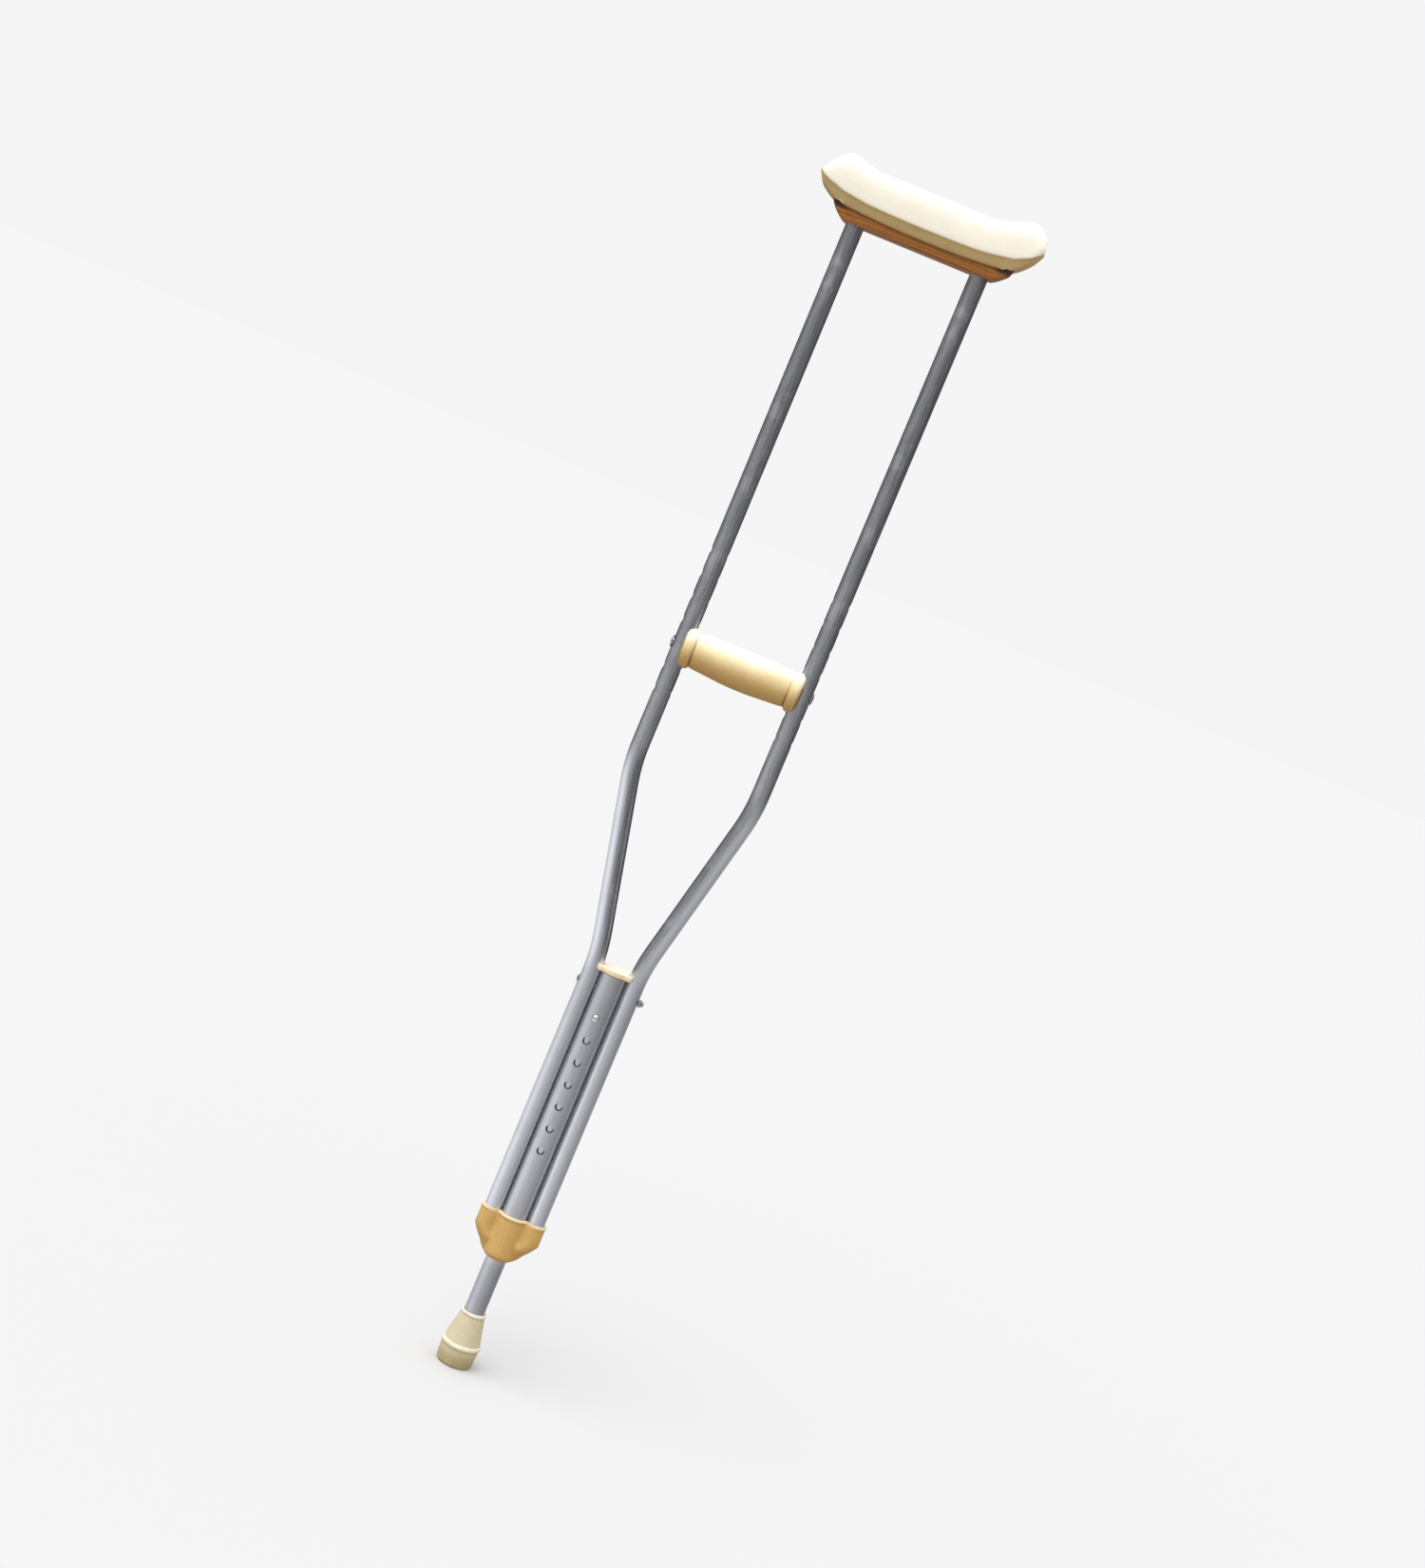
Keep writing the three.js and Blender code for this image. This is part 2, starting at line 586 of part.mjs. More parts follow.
function rubberTip() {
  const socket = LEG_RADIUS + GAP;
  return turned([
    [0, 0],
    [TIP_FOOT_RADIUS, 0],
    [19.4, 1.4],
    [20.4, 14],
    [20.6, 20],
    [21.4, 21.5],
    [21.4, 24.5],
    [20.4, 26],
    [19.4, 27],
    [17.1, TIP_TOP - 22],
    [14.2, TIP_TOP - 7],
    [13.5, TIP_TOP - 4],
    [14, TIP_TOP - 2.8],
    [13.8, TIP_TOP - 0.8],
    [12.8, TIP_TOP],
    [socket, TIP_TOP],
    [socket, TIP_FLOOR],
    [0, TIP_FLOOR],
  ], 36);
}

function tipWasher() {
  return bar(10.6, TIP_FLOOR + 0.3, TIP_FLOOR + 1.8);
}

// ---------------------------------------------------------------- handgrip

const tubeNotches = (radius) =>
  Object.values(SIDES).map((side) => bar(radius, GRIP_Z - 40, GRIP_Z + 40, { x: side * UPPER_SPREAD }));

function gripCore() {
  const core = crossBar(GRIP_CORE_RADIUS, -GRIP_CORE_HALF, GRIP_CORE_HALF, GRIP_Z, 28);
  const bore = crossBar(GRIP_BOLT_RADIUS + GAP, -UPPER_SPREAD, UPPER_SPREAD, GRIP_Z);
  return cut(core, [...tubeNotches(SIDE_TUBE_RADIUS + GAP), bore]);
}

// The rubber sleeve: fuller in the middle, with a rolled flange round each end.
function gripCover() {
  const bore = GRIP_CORE_RADIUS + GAP;
  const half = [
    [21.6, 0],
    [21.2, 14],
    [20, 32],
    [19.2, 46],
    [18.6, 51.5],
    [20.2, 53.5],
    [21.6, 55.5],
    [21.8, 60],
    [20.8, 63.5],
    [18, GRIP_END],
    [bore, GRIP_END],
  ];
  const mirrored = half.slice(1).reverse().map(([radius, x]) => [radius, -x]);
  const profile = [...mirrored, ...half, mirrored[0]];
  return cut(turnedAlongX(profile, GRIP_Z, 36), tubeNotches(SIDE_TUBE_RADIUS + GAP));
}

const gripFace = UPPER_SPREAD + SIDE_TUBE_RADIUS + GAP;

// The long bolt through both tubes and the core, with its low head on the right.
function gripBolt() {
  return turnedAlongX([
    [0, -gripFace + 5],
    [GRIP_BOLT_RADIUS - 0.5, -gripFace + 5],
    [GRIP_BOLT_RADIUS, -gripFace + 5.6],
    [GRIP_BOLT_RADIUS, gripFace],
    [GRIP_HEAD_RADIUS, gripFace],
    [GRIP_HEAD_RADIUS - 0.8, gripFace + GRIP_HEAD_HEIGHT / 2],
    [GRIP_HEAD_RADIUS / 2, gripFace + GRIP_HEAD_HEIGHT - 0.2],
    [0, gripFace + GRIP_HEAD_HEIGHT],
  ], GRIP_Z, 20);
}

// The barrel nut that closes it on the left, its barrel inside the tube.
function gripNut() {
  const thread = GRIP_BOLT_RADIUS + GAP;
  return turnedAlongX([
    [0, -gripFace - GRIP_HEAD_HEIGHT],
    [GRIP_HEAD_RADIUS / 2, -gripFace - GRIP_HEAD_HEIGHT + 0.2],
    [GRIP_HEAD_RADIUS - 0.8, -gripFace - GRIP_HEAD_HEIGHT / 2],
    [GRIP_HEAD_RADIUS, -gripFace],
    [GRIP_NUT_RADIUS, -gripFace],
    [GRIP_NUT_RADIUS, -gripFace + GRIP_BARREL],
    [thread, -gripFace + GRIP_BARREL],
    [thread, -gripFace + 2],
    [0, -gripFace + 2],
  ], GRIP_Z, 20);
}

// ---------------------------------------------------------------- the crutch

const crutch = new THREE.Group();

function place(name, shape, material) {
  const mesh = new THREE.Mesh(geometryOf(shape), material);
  mesh.name = name;
  crutch.add(mesh);
}

for (const [name, side] of Object.entries(SIDES)) {
  place(`side_tube_${name}`, sideTube(side), anodised());
  place(`bracket_rivet_${name}`, bracketRivet(side), steel());
  place(`tube_plug_${name}`, tubePlug(side), stainedWood());
  place(`saddle_screw_${name}`, saddleScrew(side), steel());
}
place('centre_tube', centreTube(), anodised());
place('top_cap', topCap(), creamPlastic());
place('cap_bolt', capBolt(), steel());
place('cap_nut', capNut(), steel());
place('bottom_bracket', bottomBracket(), amberPlastic());
place('saddle', saddle(), stainedWood());
place('underarm_pad', pad(), padRubber());

place('leg_tube', leg(), anodised());
place('leg_bush', legBush(), nylon());
place('button_spring', buttonSpring(), steel());
place('rubber_tip', rubberTip(), tipRubber());
place('tip_washer', tipWasher(), steel());
place('front_button', snapButton(-1), steel());
place('rear_button', snapButton(1), steel());

place('grip_core', gripCore(), stainedWood());
place('grip_cover', gripCover(), gripRubber());
place('grip_bolt', gripBolt(), steel());
place('grip_nut', gripNut(), steel());

export default crutch;
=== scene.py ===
import math

import bmesh
import bpy
from mathutils import Matrix, Vector, noise


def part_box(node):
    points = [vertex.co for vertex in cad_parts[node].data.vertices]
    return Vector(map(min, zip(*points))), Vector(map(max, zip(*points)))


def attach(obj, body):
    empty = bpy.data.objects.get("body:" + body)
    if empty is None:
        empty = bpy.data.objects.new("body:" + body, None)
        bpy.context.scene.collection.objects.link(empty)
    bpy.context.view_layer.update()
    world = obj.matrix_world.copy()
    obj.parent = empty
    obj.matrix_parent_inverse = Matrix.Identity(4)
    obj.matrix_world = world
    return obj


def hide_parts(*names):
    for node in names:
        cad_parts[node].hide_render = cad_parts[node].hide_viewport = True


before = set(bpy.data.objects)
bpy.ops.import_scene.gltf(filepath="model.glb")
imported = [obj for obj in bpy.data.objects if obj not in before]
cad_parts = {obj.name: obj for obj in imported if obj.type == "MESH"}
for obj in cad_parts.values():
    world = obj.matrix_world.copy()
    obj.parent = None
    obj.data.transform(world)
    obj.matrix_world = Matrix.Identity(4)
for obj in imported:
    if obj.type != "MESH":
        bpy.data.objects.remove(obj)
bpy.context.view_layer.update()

# The looks of the underarm crutch. Shapes are laid out in millimetres in the CAD frame: +Z up along the
# crutch, X across the two side tubes, the front facing -Y. Each finished mesh is scaled to metres.

MM = 0.001

# ---------------------------------------------------------------- dimensions


def box_mm(node):
    low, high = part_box(node)
    return low / MM, high / MM


SIDE_LOW, SIDE_HIGH = box_mm("side_tube_right")
SIDE_R = SIDE_HIGH.y
SIDE_WALL = 1.25
SWELL = 0.12  # the side and centre tubes are drawn this much fuller, so that they all but touch
LOWER_SPREAD = SIDE_LOW.x + SIDE_R  # a side tube's axis beside the centre tube
UPPER_SPREAD = SIDE_HIGH.x - SIDE_R  # and above the upper bend
LOWER_BEND_Z = 468  # where the straight axes would meet, at each bend
UPPER_BEND_Z = 664
BEND_R = 200
LEAN = math.atan2(UPPER_SPREAD - LOWER_SPREAD, UPPER_BEND_Z - LOWER_BEND_Z)

CENTRE_LOW, CENTRE_HIGH = box_mm("centre_tube")
CENTRE_R = CENTRE_HIGH.x
CENTRE_WALL = 1.3
LEG_LOW, LEG_HIGH = box_mm("leg_tube")
LEG_R = LEG_HIGH.x
LEG_WALL = 1.3

BUTTON_LOW, BUTTON_HIGH = box_mm("front_button")
BUTTON_Z = (BUTTON_LOW.z + BUTTON_HIGH.z) / 2
BUTTON_R = 4
BUTTON_HOLE_R = 4.25
HOLE_PITCH = 25.4
HEIGHT_HOLES = 7

GRIP_LOW, GRIP_HIGH = box_mm("grip_cover")
GRIP_Z = (GRIP_LOW.z + GRIP_HIGH.z) / 2
GRIP_END = GRIP_HIGH.x
GRIP_BORE_R = 13.35
GRIP_FACE = UPPER_SPREAD + SIDE_R + 0.35  # where the bolt head and nut head sit
GRIP_STEPS = range(-2, 5)

BRACKET_LOW, BRACKET_HIGH = box_mm("bottom_bracket")
RIVET_LOW, RIVET_HIGH = box_mm("bracket_rivet_right")
RIVET_Z = (RIVET_LOW.z + RIVET_HIGH.z) / 2
CAP_LOW, CAP_HIGH = box_mm("top_cap")
CAP_NUT_LOW, CAP_NUT_HIGH = box_mm("cap_nut")
CAP_BOLT_Z = (CAP_NUT_LOW.z + CAP_NUT_HIGH.z) / 2
CAP_FACE = CAP_NUT_LOW.x
SADDLE_LOW, SADDLE_HIGH = box_mm("saddle")
SCREW_TOP = box_mm("saddle_screw_right")[1].z
PAD_LOW, PAD_HIGH = box_mm("underarm_pad")
TIP_HIGH = box_mm("rubber_tip")[1]

CLEARANCE = 0.35
DRILL = 12.0  # how far a drill reaches either side of the tube it goes through
LONG_DRILL = 20.0
GRIP_HOLE_R = 3.45
NUT_HOLE_R = 4.6
CAP_HOLE_R = 2.85
RIVET_HOLE_R = 2.35
SCREW_HOLE_R = 2.45
SCREW_HEAD_HOLE_R = 4.9
PIN_HOLE_R = 4.35

# ---------------------------------------------------------------- mesh building

AXES = {
    "X": lambda u, v, h: (h, u, v),
    "Y": lambda u, v, h: (u, h, v),
    "Z": lambda u, v, h: (u, v, h),
}


def soften(corners, steps=4):
    """(r, h, setback) corners as (r, h) points, each corner with a setback rounded off that far from it."""
    points = []
    last = len(corners) - 1
    for i, (r, h, setback) in enumerate(corners):
        here = Vector((r, h))
        if i in (0, last) or not setback:
            points.append((r, h))
            continue
        before = Vector(corners[i - 1][:2]) - here
        after = Vector(corners[i + 1][:2]) - here
        start = here + before.normalized() * min(setback, before.length * 0.48)
        end = here + after.normalized() * min(setback, after.length * 0.48)
        for k in range(steps + 1):
            t = k / steps
            p = start * (1 - t) ** 2 + here * (2 * t * (1 - t)) + end * t**2
            points.append((p.x, p.y))
    return points


def bezier(a, b, c, t):
    return tuple((1 - t) ** 2 * a[k] + 2 * t * (1 - t) * b[k] + t * t * c[k] for k in (0, 1))


def hexagon(radius, angle):
    """The distance from the centre to a hexagon's side, for a hexagon this far across its half flats."""
    return radius / math.cos((angle + math.pi / 6) % (math.pi / 3) - math.pi / 6)


def turned(profile, axis="Z", origin=(0, 0, 0), count=64, phase=0.0):
    """Rings about an axis through origin. Profile points are (radius, along), or with a third item, a
    function of radius and angle that gives another outline than a circle."""
    rings = []
    for radius, along, *outline in profile:
        ring = []
        for i in range(count if radius else 1):
            angle = 2 * math.pi * (i + phase) / count
            r = outline[0](radius, angle) if outline else radius
            ring.append(Vector(AXES[axis](r * math.cos(angle), r * math.sin(angle), along)) + Vector(origin))
        rings.append(ring)
    return rings


def rod(radius, low, high, axis="Z", origin=(0, 0, 0), count=40):
    """A drill. It is turned by part of a facet, so that its corners miss those of the piece it cuts."""
    return turned([(0, low), (radius, low), (radius, high), (0, high)], axis, origin, count, 0.37)


def loft(bm, rings, closed=False):
    """Faces between rings of points. A ring of one point is a pole. closed joins the last to the first."""
    rows = [[bm.verts.new(p) for p in ring] for ring in rings]
    for low, high in list(zip(rows, rows[1:])) + ([(rows[-1], rows[0])] if closed else []):
        count = max(len(low), len(high))
        for i in range(count):
            j = (i + 1) % count
            corners = [low[i % len(low)], low[j % len(low)], high[j % len(high)], high[i % len(high)]]
            corners = list(dict.fromkeys(corners))
            if len(corners) > 2:
                bm.faces.new(corners)
    return rows


def mesh_of(lofts, closed=False):
    bm = bmesh.new()
    for rings in lofts:
        loft(bm, rings, closed)
    bmesh.ops.recalc_face_normals(bm, faces=bm.faces)
    mesh = bpy.data.meshes.new("mesh")
    bm.to_mesh(mesh)
    bm.free()
    return mesh


def linked(name, mesh):
    obj = bpy.data.objects.new(name, mesh)
    bpy.context.scene.collection.objects.link(obj)
    return obj


def cut(obj, tools):
    """Takes a group of closed shapes, which may overlap, out of the piece."""
    tool = linked("tool", mesh_of(tools))
    modifier = obj.modifiers.new("cut", "BOOLEAN")
    modifier.operation = "DIFFERENCE"
    modifier.solver = "EXACT"
    modifier.use_self = True
    modifier.object = tool
    graph = bpy.context.evaluated_depsgraph_get()
    result = bpy.data.meshes.new_from_object(obj.evaluated_get(graph))
    obj.modifiers.clear()
    obj.data = result
    bpy.data.objects.remove(tool)


def dress(obj, body, material, crease=32, replaces=()):
    """Scales a piece to metres, smooths it, and gives it its body, slot and material."""
    mesh = obj.data
    mesh.transform(Matrix.Scale(MM, 4))
    mesh.materials.clear()
    mesh.materials.append(material)
    for polygon in mesh.polygons:
        polygon.use_smooth = True
        polygon.material_index = 0
    mesh.set_sharp_from_angle(angle=math.radians(crease))
    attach(obj, body)
    if replaces:
        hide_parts(*replaces)
    return obj


def built(name, lofts, body, material, node=None, cuts=(), closed=False, crease=32):
    obj = linked(f"{name}_looks", mesh_of(lofts, closed))
    for group in cuts:
        cut(obj, group)
    return dress(obj, body, material, crease, [node] if node else [])


def mirrored():
    return [(-1, "left"), (1, "right")]


# ---------------------------------------------------------------- materials


def srgb(code):
    """A linear colour from a hex code."""
    channels = [int(code[i : i + 2], 16) / 255 for i in (0, 2, 4)]
    return [c / 12.92 if c <= 0.04045 else ((c + 0.055) / 1.055) ** 2.4 for c in channels] + [1.0]


class Nodes:
    """Lays out the nodes of one material round its Principled shader."""

    def __init__(self, name, **constants):
        self.material = bpy.data.materials.new(name)
        self.material.use_nodes = True
        self.tree = self.material.node_tree
        self.shader = self.tree.nodes["Principled BSDF"]
        for socket, value in constants.items():
            self.shader.inputs[socket.replace("_", " ")].default_value = value

    def add(self, kind, inputs, output=0, **settings):
        node = self.tree.nodes.new("ShaderNode" + kind)
        for key, value in settings.items():
            setattr(node, key, value)
        for key, value in inputs.items():
            if isinstance(value, bpy.types.NodeSocket):
                self.tree.links.new(value, node.inputs[key])
            else:
                node.inputs[key].default_value = value
        return node.outputs[output]

    def place(self):
        return self.add("TexCoord", {}, "Object")

    def run(self):
        """The point's place as if its tube were straight."""
        return self.add("Attribute", {}, "Vector", attribute_name="run")

    def stretch(self, at, scale):
        return self.add("VectorMath", {0: at, 1: scale}, operation="MULTIPLY")

    def noise(self, at, scale, detail=3.0, rough=0.5, warp=0.0):
        inputs = {"Vector": at, "Scale": scale, "Detail": detail, "Roughness": rough, "Distortion": warp}
        return self.add("TexNoise", inputs)

    def cells(self, at, scale, feature="F1"):
        return self.add("TexVoronoi", {"Vector": at, "Scale": scale}, feature=feature)

    def remap(self, value, low, high, new_low=0.0, new_high=1.0):
        inputs = {0: value, 1: low, 2: high, 3: new_low, 4: new_high}
        return self.add("MapRange", inputs, interpolation_type="SMOOTHSTEP")

    def math(self, operation, a, b):
        return self.add("Math", {0: a, 1: b}, operation=operation)

    def mix(self, factor, a, b, blend="MIX"):
        return self.add("Mix", {0: factor, 6: a, 7: b}, 2, data_type="RGBA", blend_type=blend)

    def axis(self, at, name):
        return self.add("SeparateXYZ", {0: at}, name)

    def finish(self, colour, roughness, heights):
        """Links the shader. heights are (height, depth in metres), from the coarsest to the finest."""
        normal = None
        for height, depth in heights:
            inputs = {"Height": height, "Distance": depth, "Strength": 1.0}
            if normal is not None:
                inputs["Normal"] = normal
            normal = self.add("Bump", inputs)
        self.tree.links.new(colour, self.shader.inputs["Base Color"])
        self.tree.links.new(roughness, self.shader.inputs["Roughness"])
        self.tree.links.new(normal, self.shader.inputs["Normal"])
        return self.material


def aluminium(name, dark, light, streak):
    n = Nodes(name, Metallic=1.0)
    at = n.run()
    drawn = n.noise(n.stretch(at, (1, 1, 0.02)), 1500, 3)
    cloud = n.noise(at, 16, 4, 0.6)
    speckle = n.noise(at, 900, 2)
    scuffed = n.remap(n.noise(at, 30, 5, 0.65), 0.54, 0.68)
    hair = n.remap(n.noise(n.stretch(at, (1, 1, 0.007)), 2600, 2), 0.62, 0.70)
    scratch = n.math("MULTIPLY", hair, scuffed)
    # The lowest part of a tube is painted darker: painted shade near the tip and the floor.
    low_shade = n.remap(n.axis(at, "Z"), 0.11, 0.14, 0.5, 0.0)
    colour = n.mix(cloud, srgb(dark), srgb(light))
    colour = n.mix(n.remap(drawn, 0.3, 0.7, 0.0, 0.4), colour, srgb(streak))
    colour = n.mix(n.math("MULTIPLY", scratch, 0.6), colour, srgb("f4f4f6"))
    colour = n.mix(low_shade, colour, srgb("8d8f94"))
    rough = n.math("ADD", n.remap(drawn, 0.25, 0.75, 0.24, 0.36), n.math("MULTIPLY", scuffed, 0.07))
    return n.finish(colour, rough, [(drawn, 0.00004), (speckle, 0.000015), (scratch, -0.00004)])


def pad_rubber():
    n = Nodes("pad_foam_rubber", Specular_IOR_Level=0.35)
    n.shader.inputs["Sheen Weight"].default_value = 0.15
    at = n.place()
    under = n.add("Attribute", {}, "Fac", attribute_name="under")
    mottle = n.noise(at, 26, 5, 0.6)
    stain = n.remap(n.noise(at, 55, 6, 0.7, 0.6), 0.5, 0.75)
    pebble = n.noise(at, 1100, 2)
    pores = n.remap(n.cells(at, 800), 0.0, 0.32)
    colour = n.mix(mottle, srgb("fcfaf0"), srgb("fffef8"))
    colour = n.mix(n.math("MULTIPLY", stain, 0.16), colour, srgb("eee3c6"))
    # Below the mould line the pad is tan: partly the rubber's own darker tone, partly painted shade where the
    # side turns under, away from the light.
    tan = n.mix(mottle, srgb("bba578"), srgb("ceb98e"))
    tan = n.mix(n.math("MULTIPLY", stain, 0.35), tan, srgb("9a8352"))
    colour = n.mix(under, colour, tan)
    colour = n.mix(n.remap(pores, 0.0, 1.0, 0.12, 0.0), colour, srgb("8e7650"))
    rough = n.remap(mottle, 0.3, 0.7, 0.62, 0.8)
    return n.finish(colour, rough, [(mottle, 0.0006), (pebble, 0.00018), (pores, 0.00012)])


def grip_rubber():
    """Lighter on top and darker below and in the middle: painted light on the upper side and painted shade
    below, as the light falls from above.
    """
    n = Nodes("grip_rubber", Specular_IOR_Level=0.45)
    at = n.place()
    mottle = n.noise(at, 34, 5, 0.6)
    wear = n.remap(n.noise(n.stretch(at, (0.35, 1, 1)), 70, 5, 0.65), 0.48, 0.72)
    pebble = n.noise(at, 1300, 2)
    pores = n.remap(n.cells(at, 1100), 0.0, 0.3)
    height = n.math("ADD", n.axis(at, "Z"), n.remap(mottle, 0.3, 0.7, -0.002, 0.002))
    # The upper side is painted paler, painted light; the lower side and middle are painted darker, painted
    # shade.
    top_light = n.remap(height, (GRIP_Z + 3) * MM, (GRIP_Z + 18) * MM)
    lower_shade = n.remap(height, (GRIP_Z - 9) * MM, (GRIP_Z + 9) * MM, 0.85, 0.0)
    colour = n.mix(mottle, srgb("ebd8a8"), srgb("f1e2ba"))
    colour = n.mix(top_light, colour, srgb("fbf6e6"))
    colour = n.mix(n.math("MULTIPLY", wear, 0.22), colour, srgb("d0b274"))
    colour = n.mix(lower_shade, colour, srgb("d2b276"))
    out = n.math("ABSOLUTE", n.axis(at, "X"), 0.0)
    # Painted shade in the groove beside each flange and where each flange end meets its tube, strongest low
    # down.
    contact_shade = n.math("SUBTRACT", n.remap(out, 0.0508, 0.0522), n.remap(out, 0.0529, 0.0543))
    contact_shade = n.math("ADD", contact_shade, n.remap(out, 0.0622, 0.0646))
    contact_shade = n.math("MULTIPLY", contact_shade, n.remap(height, (GRIP_Z - 14) * MM, (GRIP_Z + 16) * MM, 0.75, 0.1))
    colour = n.mix(contact_shade, colour, srgb("7b5c2c"))
    colour = n.mix(n.remap(pores, 0.0, 1.0, 0.12, 0.0), colour, srgb("8d6c35"))
    rough = n.remap(wear, 0.0, 1.0, 0.58, 0.42)
    return n.finish(colour, rough, [(mottle, 0.0004), (pebble, 0.00015), (pores, 0.0001)])


def tip_rubber():
    n = Nodes("tip_rubber", Specular_IOR_Level=0.3)
    at = n.place()
    height = n.axis(at, "Z")
    mottle = n.noise(at, 60, 5, 0.6)
    dust = n.remap(n.noise(at, 180, 6, 0.7), 0.45, 0.7)
    pebble = n.noise(at, 1600, 2)
    low = n.remap(height, 0.004, 0.021, 1.0, 0.0)
    low = n.math("MULTIPLY", low, n.remap(mottle, 0.3, 0.65, 0.55, 1.0))
    # The flange's rim and the top lip are paler: painted highlight where they face the light from above, with
    # some wear.
    rims = n.remap(n.math("ABSOLUTE", n.math("SUBTRACT", height, 0.0238), 0.0), 0.0012, 0.0026, 1.0, 0.0)
    neck = n.remap(height, (TIP_HIGH.z - 4.5) * MM, (TIP_HIGH.z - 3.5) * MM)
    rims = n.math("MAXIMUM", rims, neck)
    colour = n.mix(mottle, srgb("c9c1a4"), srgb("d5cdb3"))
    colour = n.mix(n.math("MULTIPLY", low, 0.85), colour, srgb("a99b70"))
    colour = n.mix(n.math("MULTIPLY", rims, 0.8), colour, srgb("f0e8dc"))
    colour = n.mix(n.math("MULTIPLY", dust, 0.22), colour, srgb("a59a7c"))
    rough = n.remap(dust, 0.0, 1.0, 0.66, 0.85)
    return n.finish(colour, rough, [(mottle, 0.0003), (dust, 0.00012), (pebble, 0.0001)])


def moulded(name, dark, light, edge, top_z, band, rough_low, rough_high):
    """Moulded plastic with flow marks, fine scuffs, and a paler rim just under the height top_z: a painted
    highlight where the top edge catches the light from above, with some wear.
    """
    n = Nodes(name, Specular_IOR_Level=0.5)
    n.shader.inputs["Subsurface Weight"].default_value = 0.08
    n.shader.inputs["Subsurface Radius"].default_value = (0.002, 0.0012, 0.0005)
    n.shader.inputs["Subsurface Scale"].default_value = 0.5
    at = n.place()
    flow = n.noise(n.stretch(at, (1, 1, 0.3)), 90, 4, 0.55, 1.2)
    grain = n.noise(at, 1400, 2)
    scuff = n.remap(n.noise(n.stretch(at, (1, 1, 0.15)), 500, 4, 0.7), 0.56, 0.7)
    # A paler band just under the top: painted highlight on the top edge, with some wear.
    rim = n.remap(n.axis(at, "Z"), (top_z - band) * MM, (top_z - band * 0.35) * MM)
    colour = n.mix(flow, srgb(dark), srgb(light))
    colour = n.mix(n.math("MULTIPLY", scuff, 0.18), colour, srgb(edge))
    colour = n.mix(n.math("MULTIPLY", rim, 0.85), colour, srgb(edge))
    rough = n.math("ADD", n.remap(grain, 0.3, 0.7, rough_low, rough_high), n.math("MULTIPLY", scuff, 0.12))
    return n.finish(colour, rough, [(flow, 0.0002), (grain, 0.00006), (scuff, -0.00004)])


def wood(name, dark, light, varnish, shaded_ends=False):
    """Long-grained wood. The upper part of the saddle's cut ends is painted darker: painted shade in the dark
    slots under the pad's ends.
    """
    n = Nodes(name, Specular_IOR_Level=0.5)
    n.shader.inputs["Coat Weight"].default_value = varnish
    n.shader.inputs["Coat Roughness"].default_value = 0.35
    at = n.place()
    bent = n.noise(n.stretch(at, (0.12, 1, 1)), 60, 4, 0.6, 0.8)
    rings = n.add(
        "TexWave",
        {
            "Vector": n.stretch(at, (0.09, 1, 1)),
            "Scale": 90.0,
            "Distortion": 7.0,
            "Detail": 3.0,
            "Detail Scale": 1.4,
        },
        bands_direction="Z",
    )
    fibre = n.noise(n.stretch(at, (0.03, 1, 1)), 1500, 4, 0.65)
    pores = n.remap(n.noise(n.stretch(at, (0.05, 1, 1)), 2600, 2), 0.6, 0.7)
    colour = n.mix(rings, srgb(dark), srgb(light))
    colour = n.mix(n.remap(bent, 0.35, 0.7, 0.0, 0.5), colour, srgb(dark))
    colour = n.mix(n.math("MULTIPLY", pores, 0.55), colour, srgb("3c210c"))
    colour = n.mix(n.remap(fibre, 0.3, 0.7, 0.0, 0.3), colour, srgb(light))
    if shaded_ends:
        # Painted shade on the upper part of the saddle's ends.
        out = n.math("ABSOLUTE", n.axis(at, "X"), 0.0)
        out = n.remap(out, (SADDLE_HIGH.x - 22) * MM, (SADDLE_HIGH.x - 11) * MM)
        up = n.remap(n.axis(at, "Z"), (SADDLE_LOW.z + 8.5) * MM, (SADDLE_LOW.z + 12) * MM)
        colour = n.mix(n.math("MULTIPLY", out, up), colour, srgb("48240c"))
    rough = n.remap(fibre, 0.3, 0.7, 0.42, 0.6)
    return n.finish(colour, rough, [(rings, 0.0001), (fibre, 0.00008), (pores, -0.00012)])


def zinc(name, dark, light, rough_low, rough_high):
    n = Nodes(name, Metallic=1.0)
    at = n.place()
    spangle = n.cells(at, 900)
    cloud = n.noise(at, 260, 4, 0.6)
    tarnish = n.remap(n.noise(at, 420, 5, 0.7), 0.52, 0.7)
    colour = n.mix(spangle, srgb(dark), srgb(light))
    colour = n.mix(n.math("MULTIPLY", tarnish, 0.5), colour, srgb("6f6c64"))
    rough = n.remap(cloud, 0.3, 0.7, rough_low, rough_high)
    return n.finish(colour, rough, [(spangle, 0.00002), (cloud, 0.00003)])


def nylon():
    n = Nodes("nylon", Specular_IOR_Level=0.5)
    at = n.place()
    cloud = n.noise(at, 120, 4)
    grain = n.noise(n.stretch(at, (1, 1, 8)), 700, 3)
    colour = n.mix(cloud, srgb("dad5c8"), srgb("efece4"))
    colour = n.mix(n.remap(grain, 0.55, 0.75, 0.0, 0.3), colour, srgb("aaa495"))
    return n.finish(colour, n.remap(grain, 0.3, 0.7, 0.4, 0.6), [(cloud, 0.0001), (grain, 0.00003)])


